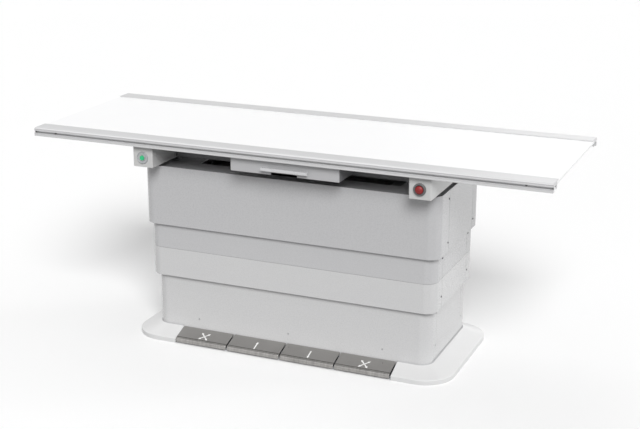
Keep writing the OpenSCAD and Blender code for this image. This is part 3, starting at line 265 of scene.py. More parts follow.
# Light grey bezel of the power button, satin plated plastic
BEZEL_ABS = Finish("power_bezel_satin_abs", "bezel_plastic", "#AFB1B3", "#A8AAAC",
                   Grain.MOULDED, metallic=0.35, roughness=(0.28, 0.4), relief=0.006, shade=0.03)
# Red moulded button: saturated, with a soft sheen
RED_ABS = Finish("stop_button_red_abs", "red_plastic", "#8C1A1B", "#831718", Grain.MOULDED,
                 roughness=(0.40, 0.52), relief=0.006, shade=0.04)
# Green lens with a lamp behind it: clear green that glows a little
GREEN_LENS = Finish("power_button_green_lens", "green_lens", "#12A368", "#1CB476", Grain.MOULDED,
                    roughness=(0.14, 0.22), relief=0.003, shade=0.03, coat=0.4, glow=0.35)
# Light grey paint on the tray's folded front
TRAY_PAINT = Finish("tray_sprayed_paint", "tray_paint", "#B8B8B9", "#B4B4B6", Grain.PEEL,
                    roughness=(0.28, 0.36), relief=0.012, shade=0.01, coat=0.2)
# Mill finish aluminium sheet: soft grey with rolling lines
TRAY_ALUMINIUM = Finish("tray_mill_aluminium", "tray_alu", "#B9BBBE", "#B0B2B6", Grain.ROLLED,
                        metallic=1.0, roughness=(0.34, 0.48), relief=0.006, shade=0.05)
# White screen-printed ink of the pedals' signs
SIGN_INK = Finish("pedal_sign_white_ink", "white_paint", "#F4F4F2", "#EFEFED", Grain.MOULDED,
                  roughness=(0.45, 0.55), relief=0.004, shade=0.02)

FINISH_OF_SLOT = {f.slot: f for f in (
    COVER_ENAMEL, BAND_ENAMEL, ARM_POWDER, BASE_PAINT, LAMINATE, RAIL_ALUMINIUM,
    HANDLE_ALUMINIUM, PEDAL_STAINLESS, ZINC_STEEL, CHROME_TUBE, DARK_POWDER, BLACK_NYLON,
    SEAL_RUBBER_PAINTED_SHADE, SCREW_OXIDE, COLLAR_ABS, BEZEL_ABS, RED_ABS, GREEN_LENS, TRAY_PAINT,
    TRAY_ALUMINIUM)}
FINISH_OF_NODE = {"lower_screws": SCREW_ZINC}


def loft(loops: Array, ring: bool = False) -> Skin:
    """Join closed loops into one closed skin.

    Vertex (i, j) is point j of loop i. Each face joins points j and j + 1 of loops i and
    i + 1, with j taken round. An open row of loops is closed by its first and last loop
    as faces, and a ring of loops joins its last loop to its first.

    Args:
        loops: points as loops by points by three.
        ring: whether the last loop joins the first.

    Returns:
        Vertices as a flat array of points, and the faces.
    """
    rows, cols = loops.shape[:2]
    i = np.arange(rows if ring else rows - 1)[:, None]
    j = np.arange(cols)[None, :]
    after_i, after_j = (i + 1) % rows, (j + 1) % cols
    quads = np.stack([i * cols + j, i * cols + after_j, after_i * cols + after_j,
                      after_i * cols + j], axis=-1).reshape(-1, 4)
    faces = quads.tolist()
    if not ring:
        faces.append(list(range(cols))[::-1])
        faces.append(list(range((rows - 1) * cols, rows * cols)))
    return loops.reshape(-1, 3), faces


def merge(parts: list[Skin]) -> Skin:
    """Put several skins into one mesh, each face list moved past the points before it."""
    starts = np.cumsum([0] + [len(verts) for verts, _ in parts[:-1]])
    faces = [[int(start) + k for k in f] for start, (_, fs) in zip(starts, parts) for f in fs]
    return np.concatenate([verts for verts, _ in parts]), faces


def rectangle(low: tuple[float, float], high: tuple[float, float]) -> Array:
    """Outline of a rectangle, from its lowest corner round to the left of its highest."""
    return np.array([low, (high[0], low[1]), high, (low[0], high[1])])


def circle(radius: float) -> Array:
    """Outline of a circle about zero."""
    angle = np.linspace(0.0, 2 * math.pi, 32, endpoint=False)
    return radius * np.stack([np.cos(angle), np.sin(angle)], axis=1)


def soft_corners(points: Array, radii: Array | float, steps: int = 4) -> Array:
    """Round the corners of a closed outline.

    Each corner p becomes the curve p + a (1 - u) squared + b u squared for u from 0 to 1,
    where a and b run along the two sides that meet there. It is tangent to both sides. The
    reach along a side is the radius over the tangent of half the corner's angle, and never
    more than 0.45 of the side.

    Args:
        points: outline as points by two.
        radii: one radius for each point, or one for all.
        steps: spaces along each rounded corner.

    Returns:
        The rounded outline, with steps + 1 points for each corner.
    """
    back = np.roll(points, 1, axis=0) - points
    ahead = np.roll(points, -1, axis=0) - points
    back_len = np.linalg.norm(back, axis=1)
    ahead_len = np.linalg.norm(ahead, axis=1)
    a, b = back / back_len[:, None], ahead / ahead_len[:, None]
    half = 0.5 * np.arccos(np.clip((a * b).sum(axis=1), -1.0, 1.0))
    reach = np.asarray(radii) / np.tan(np.clip(half, 0.05, math.pi / 2 - 1e-6))
    reach = np.minimum(reach, 0.45 * np.minimum(back_len, ahead_len))[:, None, None]
    u = np.linspace(0.0, 1.0, steps + 1)[None, :, None]
    curve = (points[:, None, :] + a[:, None, :] * (reach * (1 - u) ** 2)
             + b[:, None, :] * (reach * u ** 2))
    return curve.reshape(-1, 2)


def inset(outline: Array, by: float) -> Array:
    """Move a closed outline inwards along its corners' mean normals.

    Args:
        outline: points by two, in order round the shape.
        by: distance.

    Returns:
        The smaller outline, with the same number of points.
    """
    def unit(rows: Array) -> Array:
        """The rows at length one, and rows without a length as they are."""
        size = np.linalg.norm(rows, axis=1, keepdims=True)
        return rows / np.where(size < 1e-9, 1.0, size)

    ahead = unit(np.roll(outline, -1, axis=0) - outline)
    x, y = outline[:, 0], outline[:, 1]
    area = 0.5 * float((x * np.roll(y, -1) - y * np.roll(x, -1)).sum())
    normal = np.stack([-ahead[:, 1], ahead[:, 0]], axis=1) * math.copysign(1.0, area)
    return outline + unit(normal + np.roll(normal, 1, axis=0)) * by


class Axis(Enum):
    """The axis that a section is drawn out along: where its two coordinates and the length go."""

    X = (1, 2, 0)
    Y = (0, 2, 1)


def draw_out(section: Array, axis: Axis, start: float, end: float, edge: float,
             steps: int = 3) -> Skin:
    """Draw a section out along an axis, with rounded edges at both ends.

    Near each end the section is set in by edge (1 - sin t) while the length moves by
    edge (1 - cos t), for t from 0 to a right angle, so that the rim is a quarter round.

    Args:
        section: closed outline, points by two.
        axis: the axis to follow.
        start: the lower end.
        end: the upper end.
        edge: radius of the rims.
        steps: spaces in each rim.

    Returns:
        Vertices and faces.
    """
    t = np.linspace(0.0, math.pi / 2, steps + 1)
    along, drawn = edge * (1 - np.cos(t)), edge * (1 - np.sin(t))
    depth = np.concatenate([start + along, (end - along)[::-1]])
    loops = np.zeros((len(depth), len(section), 3))
    first, second, third = axis.value
    loops[:, :, [first, second]] = np.stack(
        [inset(section, float(d)) for d in np.concatenate([drawn, drawn[::-1]])])
    loops[:, :, third] = depth[:, None]
    return loft(loops)


def turned(profile: Array, centre: tuple[float, float, float], sides: int) -> Skin:
    """Turn a profile about an axis that runs along Y.

    Point (k, a) is the centre plus radius k times (cos a, 0, sin a), plus the depth k
    along Y. A profile that starts and ends on the axis gives a closed skin.

    Args:
        profile: rows of radius and depth along Y.
        centre: a point on the axis.
        sides: points round the axis.

    Returns:
        Vertices and faces.
    """
    angle = np.linspace(0.0, 2 * math.pi, sides, endpoint=False)[None, :]
    radius, depth = profile[:, 0][:, None], profile[:, 1][:, None]
    loops = np.stack([centre[0] + radius * np.cos(angle), centre[1] + depth + 0 * angle,
                      centre[2] + radius * np.sin(angle)], axis=-1)
    return loft(loops, ring=bool(radius[0] > 1e-6 and radius[-1] > 1e-6))


def corner_path(length: float, width: float, radius: float, quarter: int,
                steps: int = 14) -> tuple[Array, Array]:
    """One quarter-round corner of a rounded rectangle, and its outward normals.

    Args:
        length: size along X.
        width: size along Y.
        radius: corner radius.
        quarter: 0 for +X +Y, then on round anticlockwise.
        steps: spaces along the corner.

    Returns:
        Points and unit normals, points by two.
    """
    a = (quarter + np.linspace(0.0, 1.0, steps + 1)) * math.pi / 2
    normal = np.stack([np.cos(a), np.sin(a)], axis=1)
    side = np.array([1.0 if quarter in (0, 3) else -1.0, 1.0 if quarter in (0, 1) else -1.0])
    centre = side * (np.array([length, width]) / 2 - radius)
    return centre + radius * normal, normal


def put_in(name: str, mesh: bpy.types.Mesh, finish: Finish, body: str, nodes: tuple[str, ...],
           edge: float = 0.0) -> bpy.types.Object:
    """Put a mesh into the scene as one finished piece.

    Its shading is weighted by face area, so that flats stay flat beside small edges.

    Args:
        name: the piece's name.
        mesh: its mesh, in metres in the shared frame.
        finish: its finish.
        body: the CAD body that it rides on.
        nodes: CAD nodes that it stands for.
        edge: radius in millimetres to which its sharp edges are rounded, or zero.

    Returns:
        The new object.
    """
    mesh.polygons.foreach_set("use_smooth", np.ones(len(mesh.polygons), dtype=bool))
    mesh.set_sharp_from_angle(angle=math.radians(SHARP_ABOVE))
    mesh.materials.append(finish.material())
    made = bpy.data.objects.new(name, mesh)
    bpy.context.scene.collection.objects.link(made)
    if edge:
        bevel = made.modifiers.new("rounded_edges", "BEVEL")
        bevel.width, bevel.segments, bevel.limit_method = edge * MM, 2, "ANGLE"
        bevel.angle_limit = math.radians(BEVEL_ABOVE)
    weighted = made.modifiers.new("even_normals", "WEIGHTED_NORMAL")
    weighted.keep_sharp, weighted.weight = True, 50
    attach(made, body)
    if nodes:
        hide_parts(*nodes)
    LOG.info("piece %s: %d faces on %s", name, len(mesh.polygons), body)
    return made


def finish_mesh(name: str, skin: Skin, finish: Finish, body: str,
                *nodes: str) -> bpy.types.Object:
    """Make one finished piece from a skin.

    Args:
        name: the piece's name.
        skin: vertices and faces, in metres in the shared frame.
        finish: its finish.
        body: the CAD body that it rides on.
        nodes: CAD nodes that it stands for.

    Returns:
        The new object.
    """
    mesh = bpy.data.meshes.new(name)
    mesh.from_pydata(skin[0].tolist(), [], skin[1])
    work = bmesh.new()
    work.from_mesh(mesh)
    bmesh.ops.remove_doubles(work, verts=work.verts, dist=WELD)
    bmesh.ops.dissolve_degenerate(work, edges=work.edges, dist=WELD / 2)
    bmesh.ops.recalc_face_normals(work, faces=work.faces)
    work.to_mesh(mesh)
    work.free()
    return put_in(name, mesh, finish, body, nodes)


def softened(node: str, finish: Finish, body: str, edge: float) -> bpy.types.Object:
    """Copy a CAD node, merge its triangles into faces and round its sharp edges.

    Args:
        node: the CAD node.
        finish: the piece's finish.
        body: the CAD body that it rides on.
        edge: radius of the rounded edges in millimetres.

    Returns:
        The new piece, which stands for the node.
    """
    mesh = frame["nodes"][node].data.copy()
    mesh.name = node + "_soft"
    mesh.materials.clear()
    work = bmesh.new()
    work.from_mesh(mesh)
    bmesh.ops.remove_doubles(work, verts=work.verts, dist=WELD)
    bmesh.ops.dissolve_limit(work, angle_limit=math.radians(0.6), verts=work.verts,
                             edges=work.edges)
    work.to_mesh(mesh)
    work.free()
    for attribute in [a.name for a in mesh.attributes if a.name.startswith("custom_normal")]:
        mesh.attributes.remove(mesh.attributes[attribute])
    return put_in(node + "_soft", mesh, finish, body, (node,), edge)


def dress(piece: bpy.types.Object, finish: Finish, near: float, far: float) -> None:
    """Give another finish to the faces whose middle lies between two places along Y.

    Args:
        piece: the piece, with its first finish.
        finish: the new finish.
        near: the place nearer the user.
        far: the place farther away.
    """
    mesh = piece.data
    middles = np.zeros(3 * len(mesh.polygons), dtype=np.float32)
    mesh.polygons.foreach_get("center", middles)
    mesh.materials.append(finish.material())
    y = middles.reshape(-1, 3)[:, 1]
    index = np.zeros(len(mesh.polygons), dtype=np.int32)
    mesh.polygons.foreach_get("material_index", index)
    index[(y > near) & (y < far)] = len(mesh.materials) - 1
    mesh.polygons.foreach_set("material_index", index)


@dataclass
class TierSkin:
    """One tier's sheet covers, seen as a length, a width and two heights.

    A cover's edge profile, a thin upright strip with rounded corners, is carried along
    the tier's rounded rectangle between two seams.
    """

    name: str
    front: str
    rear: str
    ends: str
    body: str
    finish: Finish
    radius: float = 50.0 * MM
    wall: float = 2.0 * MM
    edge: float = 0.95 * MM
    gap: float = 1.8 * MM
    strip: float = 20.0 * MM
    strip_wall: float = 1.5 * MM
    strip_gap: float = 0.3 * MM

    def edge_profile(self, outer: float, wall: float, low: float, high: float,
                     drawn: float) -> Array:
        """Section of the sheet: offset from the tier's outline, and height.

        Args:
            outer: offset of the outer face.
            wall: thickness of the sheet.
            low: lower edge.
            high: upper edge.
            drawn: distance that the whole section is set in.

        Returns:
            Closed outline, points by two.
        """
        box = rectangle((outer - wall + drawn, low + drawn), (outer - drawn, high - drawn))
        return soft_corners(box, max(self.edge - drawn, 0.01 * MM), 3)

    def carried(self, path: Array, normals: Array, outer: float, wall: float, low: float,
                high: float) -> Skin:
        """Carry the sheet's section along a path, its two ends rounded over.

        Point (s, q) is the path at s, plus the normal at s times the section's offset at
        q, with the section's height. The first and last loops are set in by the edge.

        Args:
            path: points by two, running between two seams.
            normals: outward unit normals.
            outer: offset of the outer face from the path.
            wall: thickness of the sheet.
            low: lower edge.
            high: upper edge.

        Returns:
            Vertices and faces.
        """
        first = path[0] + (path[1] - path[0]) / np.linalg.norm(path[1] - path[0]) * self.edge
        last = path[-1] + (path[-2] - path[-1]) / np.linalg.norm(path[-2] - path[-1]) * self.edge
        spine = np.concatenate([path[:1], [first], path[1:-1], [last], path[-1:]])
        sides = np.concatenate([normals[:1], normals[:1], normals[1:-1], normals[-1:],
                                normals[-1:]])
        full = self.edge_profile(outer, wall, low, high, 0.0)
        small = self.edge_profile(outer, wall, low, high, 0.6 * self.edge)
        sections = np.repeat(full[None], len(spine), axis=0)
        sections[0], sections[-1] = small, small
        flat = spine[:, None, :] + sides[:, None, :] * sections[:, :, :1]
        return loft(np.concatenate([flat, sections[:, :, 1:]], axis=2))

    def wrap(self, node: str, side: float) -> Skin:
        """The front (-1) or rear (+1) cover, which goes round two corners."""
        low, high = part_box(node)
        length, width = high.x - low.x, 2 * max(abs(low.y), abs(high.y))
        seam = high.y if side < 0 else low.y
        (one, one_out), (two, two_out) = (
            corner_path(length, width, self.radius, q) for q in ((2, 3) if side < 0 else (0, 1)))
        start, end = [[side * length / 2, seam]], [[-side * length / 2, seam]]
        path = np.concatenate([start, one, two, end])
        normals = np.concatenate([[[side, 0.0]], one_out, two_out, [[-side, 0.0]]])
        return self.carried(path, normals, 0.0, self.wall, low.z, high.z)

    def end_skins(self) -> Skin:
        """Both end covers, each with the strips behind its seams."""
        low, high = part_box(self.front)
        near, far = high.y + self.gap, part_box(self.rear)[0].y - self.gap
        skins = []
        for side in (-1.0, 1.0):
            normals = np.array([[side, 0.0]] * 4)
            behind = (-self.wall - self.strip_gap, self.strip_wall)
            for start, end, outer, wall in (
                    (near, far, 0.0, self.wall),
                    (near - self.strip, near + self.strip, *behind),
                    (far - self.strip, far + self.strip, *behind)):
                path = np.stack([np.full(4, side * (high.x - low.x) / 2),
                                 np.linspace(start, end, 4)], axis=1)
                skins.append(self.carried(path, normals, outer, wall, low.z, high.z))
        return merge(skins)

    def build(self) -> None:
        """Make the tier's covers and dress them."""
        for part, skin, node in (("front_skin", self.wrap(self.front, -1.0), self.front),
                                 ("rear_skin", self.wrap(self.rear, 1.0), self.rear),
                                 ("end_skins", self.end_skins(), self.ends)):
            finish_mesh(f"{self.name}_{part}", skin, self.finish, self.body, node)


@dataclass
class LiftCover:
    """The telescopic cover: three tiers, the middle one in two bands, and the dark deck."""

    tiers: list[TierSkin] = field(default_factory=lambda: [
        # The upper tier's enamel carries painted shade of the tabletop above it
        TierSkin("upper", "upper_front_cover", "upper_rear_cover", "upper_end_covers",
                 "lift_head", UPPER_ENAMEL_AND_PAINTED_SHADE),
        TierSkin("middle_high", "upper_band_front", "upper_band_rear", "middle_end_covers",
                 "lift_middle", BAND_ENAMEL),
        TierSkin("middle_low", "lower_band_front", "lower_band_rear", "middle_end_covers",
                 "lift_middle", COVER_ENAMEL),
        TierSkin("lower", "lower_front_cover", "lower_rear_cover", "lower_end_covers", "base",
                 COVER_ENAMEL)])

    def build(self) -> None:
        """Make every tier and the deck's rounded edges."""
        for tier in self.tiers:
            tier.build()
        # The deck's lighter grey is painted light for its shade under the top
        softened("top_deck", DECK_POWDER_PAINTED_LIGHT, "lift_head", 0.8)


@dataclass
class BaseCover:
    """The pressed base cover, open in front for the pedals, and the seal on its top.

    The roll is how far its edges beside the pedals sink, and over what length.
    """

    radius: float = 130.0 * MM
    edge_h: float = 20.0 * MM
    foot_h: float = 49.0 * MM
    wall: float = 3.0 * MM
    rim: float = 2.5 * MM
    tier_l: float = 1228.8 * MM
    tier_w: float = 491.4 * MM
    tier_r: float = 50.0 * MM
    seat: float = 0.3 * MM
    lip: float = 4.0 * MM
    notch_gap: float = 2.0 * MM
    notch_gap_right: float = 5.0 * MM
    roll_drop: float = 2.1 * MM
    roll_reach: float = 4.0 * MM
    seal_h: float = 4.0 * MM

    def outline(self, length: float, width: float, radius: float, left: float,
                right: float) -> Array:
        """Rounded rectangle that starts and ends at the notch.

        It runs from the notch's right edge round the back to its left edge, as four
        quarter rounds joined by straight sides.

        Args:
            length: size along X.
            width: size along Y.
            radius: corner radius.
            left: the notch's left edge.
            right: the notch's right edge.

        Returns:
            Points by two.
        """
        corners = [corner_path(length, width, radius, q, 18)[0] for q in (3, 0, 1, 2)]
        return np.concatenate([[[right, -width / 2]], *corners, [[left, -width / 2]]])

    def round_tier(self, out: float, height: float) -> list[float]:
        """A level that lies a distance outside the lower tier's own outline."""
        return [self.tier_l + 2 * out, self.tier_w + 2 * out, self.tier_r + out, height]

    def levels(self, length: float, width: float) -> Array:
        """The section's points as length, width, radius and height, one row for each.

        They run up the outer face, over the rounded rim, up the slope to the tier, over
        the lip and back down inside, a wall's thickness in. The rim is the curve
        p (1 - u) squared + 2 q u (1 - u) + r u squared, for u from 0 to 1.

        Args:
            length: the cover's size along X.
            width: its size along Y.

        Returns:
            Rows of four.
        """
        foot = np.array([length, width, self.radius, self.edge_h])
        top = np.array(self.round_tier(self.lip, self.foot_h))

        def between(share: float, lower: float = 0.0) -> Array:
            """A level at a share of the way from the outer edge to the top."""
            return foot + (top - foot) * share - [0.0, 0.0, 0.0, lower]

        u = np.linspace(0.0, 1.0, 6)[:, None]
        rim = (between(0.0, self.rim) * (1 - u) ** 2 + 2 * between(0.0) * u * (1 - u)
               + between(0.06) * u ** 2)
        slope_end = between(0.985)
        slope_end[3] = self.foot_h - 0.35 * MM
        inner, bend = self.seat, 0.5 * MM
        under = self.foot_h - self.wall
        foot_in = [length - 2 * self.wall, width - 2 * self.wall, self.radius - self.wall]
        return np.stack([
            between(0.0, self.edge_h), *rim, between(0.5), slope_end, top,
            self.round_tier(2 * inner, self.foot_h), self.round_tier(inner, self.foot_h - bend),
            self.round_tier(inner, under),
            [top[0] - 2 * MM, top[1] - 2 * MM, top[2], under - bend],
            [*foot_in, self.edge_h - self.wall], [*foot_in, 0.0]])

    def rolled_ends(self, loops: Array) -> Array:
        """Round the cover's two edges beside the pedals over.

        Towards each end the outer face draws in and the top sinks, both by drop (1 - sin
        t), while the place along X moves by reach (1 - cos t), for t from 0 to a right
        angle. The face's share falls over the rim from one to zero, and the top's rises.

        Args:
            loops: the sheet's sections, from the notch's right edge round to its left edge.

        Returns:
            The sections, with a few more at both ends.
        """
        rising = np.linspace(0.0, 1.0, 6)
        points = loops.shape[1]
        face = np.concatenate([[1.0], 1.0 - rising, np.zeros(points - 7)])
        roof = np.concatenate([[0.0], rising, np.ones(5), np.zeros(points - 12)])
        t = np.linspace(0.0, math.pi / 2, 6)[:, None]
        fall, along = self.roll_drop * (1 - np.sin(t)), self.roll_reach * (1 - np.cos(t))

        def end(section: Array, way: float) -> Array:
            """The sections from the very end inwards; way is the direction along X."""
            return section + np.stack([way * along + 0 * face, fall * face, -fall * roof], axis=-1)

        return np.concatenate([end(loops[0], 1.0), loops[1:-1], end(loops[-1], -1.0)[::-1]])

    def carried(self, rows: Array, left: float, right: float) -> Array:
        """The sections round the cover, sections by points by three.

        Args:
            rows: the section's points as length, width, radius and height.
            left: the notch's left edge.
            right: the notch's right edge.

        Returns:
            The sections in order, from the notch's right edge round to its left edge.
        """
        rings = np.stack([self.outline(l, w, r, left, right) for l, w, r, _ in rows])
        heights = np.repeat(rows[:, 3][:, None, None], rings.shape[1], axis=1)
        return np.concatenate([rings, heights], axis=2).transpose(1, 0, 2)

    def build(self) -> None:
        """Make the cover, and the seal: a half-round bead round the tier above it."""
        low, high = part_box("base_cover")
        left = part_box("pedal_1")[0].x - self.notch_gap
        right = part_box("pedal_4")[1].x + self.notch_gap_right
        rows = self.levels(high.x - low.x, high.y - low.y)
        loops = self.rolled_ends(self.carried(rows, left, right))
        finish_mesh("base_cover_skin", loft(loops), BASE_PAINT, "base", "base_cover")
        turn = np.linspace(0.0, math.pi, 9)
        reach = 0.92 * self.lip
        out = np.append(reach * 0.5 * (1 + np.cos(turn)), [0.0, reach])
        up = np.append(self.seal_h * (0.15 + 0.85 * np.sin(turn)), [0.0, 0.0])
        bead = np.array([self.round_tier(o + self.seat, self.foot_h + u)
                         for o, u in zip(out, up)])
        # The seal's darkened grey is painted shade at the tier's foot
        finish_mesh("foot_seal", loft(self.carried(bead, left, right)), SEAL_RUBBER_PAINTED_SHADE, "base",
                    "foot_gasket")


@dataclass
class Tabletop:
    """The floating top: a laminate panel between two slotted rails with end caps."""

    width: float = 770.0 * MM
    rail_z: float = 859.0 * MM
    cap_t: float = 3.0 * MM
    panel_edge: float = 1.2 * MM

    # Corners of a rail's section in millimetres, from its outer face and its foot, with radii:
    # the outer face, its slot and its sloped top, which the end caps share
    OUTER = (
        (0, 0, .8), (0, 3, .3), (1.1, 4.1, .3), (1.1, 9.95, .3), (0, 11.05, .4), (0, 11.9, .3),
        (1.6, 13.5, .3), (3.5, 13.5, .3), (3.5, 10.5, .2), (11, 10.5, .3), (11, 24.5, .3),
        (3.5, 24.5, .2), (3.5, 21.5, .3), (0, 21.5, .5), (0, 23.95, .4), (1.1, 25.05, .3),
        (1.1, 28, .3), (0, 29.1, .3), (0, 31, 1.0), (10, 35, 1.4))
    # The rail's seat for the panel, its legs and the rollers' channel
    INNER = (
        (80, 35, .8), (80, 31.5, .4), (60, 31.5, .3), (60, 19.3, .3), (80, 19.3, .4),
        (80, 15.3, .4), (60, 15.3, .3), (60, 8, .5), (56, 8, .5), (56, 27, .5), (16, 27, .5),
        (16, 0, .8))
    # The cap's shorter inner side, with a notch for the rollers
    CAP_INNER = (
        (80, 35, .8), (80, 31.5, .4), (59.8, 31.5, .4), (59.8, 8, .6), (49, 2.2, .4),
        (49, 20, .6), (19, 20, .6), (19, 0, .6))

    def section(self, inner: tuple, side: float) -> Array:
        """Section in Y and Z, of the shared outer side and an inner side.

        Args:
            inner: the inner side's corners.
            side: -1 for the front and +1 for the rear.

        Returns:
            Closed outline, points by two.
        """
        table = np.array(self.OUTER + inner, dtype=float)
        outline = soft_corners(table[:, :2], table[:, 2], 3) * MM
        return np.stack([side * (self.width / 2 - outline[:, 0]), self.rail_z + outline[:, 1]],
                        axis=1)

    def build(self) -> None:
        """Make the panel, the rails and their end caps."""
        caps = []
        cap_low, cap_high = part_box("rail_end_caps")
        for side, node in ((-1.0, "front_rail"), (1.0, "rear_rail")):
            low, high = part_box(node)
            rail = draw_out(self.section(self.INNER, side), Axis.X, low.x, high.x, 0.25 * MM)
            finish_mesh(node + "_skin", rail, RAIL_ALUMINIUM, "tabletop", node)
            caps += [draw_out(self.section(self.CAP_INNER, side), Axis.X, start,
                              start + self.cap_t, 0.2 * MM)
                     for start in (cap_low.x, cap_high.x - self.cap_t)]
        low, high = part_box("table_panel")
        section = soft_corners(rectangle((low.y, low.z), (high.y, high.z)), self.panel_edge)
        panel = draw_out(section, Axis.X, low.x, high.x, self.panel_edge, 5)
        finish_mesh("table_panel_skin", panel, LAMINATE, "tabletop", "table_panel")
        finish_mesh("rail_caps", merge(caps), RAIL_ALUMINIUM, "tabletop", "rail_end_caps")


@dataclass
class Carriage:
    """The carriage's arms, and the collar and bezel on their front ends.

    A ring's rows are radius and distance in front of the arm, in millimetres.
    """

    arm_edge: float = 1.6
    ring_edge: float = 0.5 * MM
    stop_rim: float = 8.5 * MM
    power_rim: float = 5.0 * MM

    def ring(self, name: str, node: str, finish: Finish, rim: float,
             rows: list[tuple[float, float]]) -> None:
        """One turned ring, whose front rim stands a distance in front of the arm."""
        low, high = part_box(node)
        profile = np.array(rows) * MM * [1.0, -1.0]
        centre = ((low.x + high.x) / 2, low.y + rim, (low.z + high.z) / 2)
        skin = turned(soft_corners(profile, self.ring_edge, 3), centre, 72)
        finish_mesh(name, skin, finish, "carriage", node)

    def build(self) -> None:
        """Make both rings and round the arms' edges."""
        softened("left_arm", ARM_POWDER, "carriage", self.arm_edge)
        softened("right_arm", ARM_POWDER, "carriage", self.arm_edge)
        sleeve = [(25.0, 0.0), (11.8, 0.0), (11.8, -30.0), (5.1, -30.0)]
        self.ring("stop_collar_ring", "stop_collar", COLLAR_ABS, self.stop_rim, [
            (5.1, 2.0), (16.4, 2.0), (16.4, 5.0), (18.6, 8.5), (22.0, 8.5), (25.0, 5.0), *sleeve])
        self.ring("power_bezel_ring", "power_bezel", BEZEL_ABS, self.power_rim, [
            (5.1, 2.0), (10.1, 2.0), (10.1, 4.0), (13.0, 4.0), (13.6, 2.1), (21.2, 2.6),
            (22.2, 5.0), (23.8, 5.0), (25.0, 3.4), *sleeve])


@dataclass
class Buttons:
    """The red stop button and the lit green power button, turned about Y.

    A head is its front, as rows of radius and depth in millimetres for a share c of the
    way out, and then its side and its shaft.
    """

    def head(self, name: str, node: str, finish: Finish, front: Array, side: list,
             sides: int) -> None:
        """One button's head with its shaft."""
        low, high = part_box(node)
        centre = ((low.x + high.x) / 2, low.y, (low.z + high.z) / 2)
        skin = turned(np.concatenate([front, side]) * MM, centre, sides)
        finish_mesh(name, skin, finish, node, node)

    def build(self) -> None:
        """Make the domed stop head and the dished power lens."""
        c = np.linspace(0.0, 1.0, 9)
        self.head("stop_button_head", "stop_button", RED_ABS,
                  np.stack([14.6 * c, 4.6 * c ** 2], axis=1),
                  [(15.6, 5.6), (16.0, 6.8), (16.0, 9.6), (15.6, 10.0), (5.0, 10.0),
                   (5.0, 48.0), (0.0, 48.0)], 64)
        self.head("power_button_lens", "power_button", GREEN_LENS,
                  np.stack([8.6 * c, 0.9 - 0.7 * c ** 2], axis=1),
                  [(9.2, 0.1), (9.6, 0.6), (9.7, 1.2), (9.7, 4.0), (5.0, 4.0), (5.0, 42.0),
                   (0.0, 42.0)], 48)


@dataclass
class CassetteUnit:
    """The cassette tray's front with its finger notch and bar handle, and the housing."""

    notch_l: float = 110.0 * MM
    notch_h: float = 9.0 * MM
    sheet: float = 3.0 * MM
    lip_z: float = 29.0 * MM
    lip_in: float = 13.0 * MM
    bar_t: float = 7.0 * MM
    post_l: float = 14.0 * MM
    post_in: float = 7.0 * MM
    post_down: float = 3.2 * MM

    def front(self) -> Skin:
        """The folded front plate with its finger notch, and the lip behind it."""
        low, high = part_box("tray_front")
        middle = (low.x + high.x) / 2
        a, b = middle - self.notch_l / 2, middle + self.notch_l / 2
        points = np.array([[low.x, low.z], [a, low.z], [a, low.z + self.notch_h],
                           [b, low.z + self.notch_h], [b, low.z], [high.x, low.z],
                           [high.x, high.z], [low.x, high.z]])
        radii = np.array([3.0, 1.0, 3.0, 3.0, 1.0, 3.0, 3.0, 3.0]) * MM
        plate = draw_out(soft_corners(points, radii, 6), Axis.Y, low.y, low.y + self.sheet,
                         0.8 * MM)
        fold = low.z + self.lip_z
        section = rectangle((low.y + 2 * MM, fold), (high.y, fold + self.sheet))
        lip = draw_out(soft_corners(section, 0.4 * MM, 2), Axis.X, low.x + self.lip_in,
                       high.x - self.lip_in, 0.4 * MM)
        return merge([plate, lip])

    def handle(self) -> Skin:
        """A flat bar with rounded edges on two posts."""
        low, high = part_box("tray_handle")
        back = low.y + self.bar_t
        section = soft_corners(rectangle((low.y, low.z), (back, high.z)), 1.2 * MM, 5)
        skins = [draw_out(section, Axis.X, low.x, high.x, 1.0 * MM, 4)]
        for x in (low.x + self.post_in, high.x - self.post_in - self.post_l):
            foot = rectangle((x, low.z + self.post_down),
                             (x + self.post_l, high.z - self.post_down))
            skins.append(draw_out(soft_corners(foot, 2.0 * MM), Axis.Y, back - 1 * MM, high.y,
                                  0.3 * MM))
        return merge(skins)

    def build(self) -> None:
        """Make the tray's front and handle, and round the rest."""
        finish_mesh("tray_front_plate", self.front(), TRAY_PAINT, "tray", "tray_front")
        finish_mesh("tray_handle_bar", self.handle(), HANDLE_ALUMINIUM, "tray", "tray_handle")
        softened("bucky_housing", DARK_POWDER, "cassette_unit", 0.5)
        softened("bucky_rails", DARK_POWDER, "carriage", 0.8)


class Sign(Enum):
    """The white sign on a pedal, as the directions of its arrows in degrees."""

    FOUR_WAY = (45.0, 135.0)
    UP = (90.0,)
    DOWN = (270.0,)


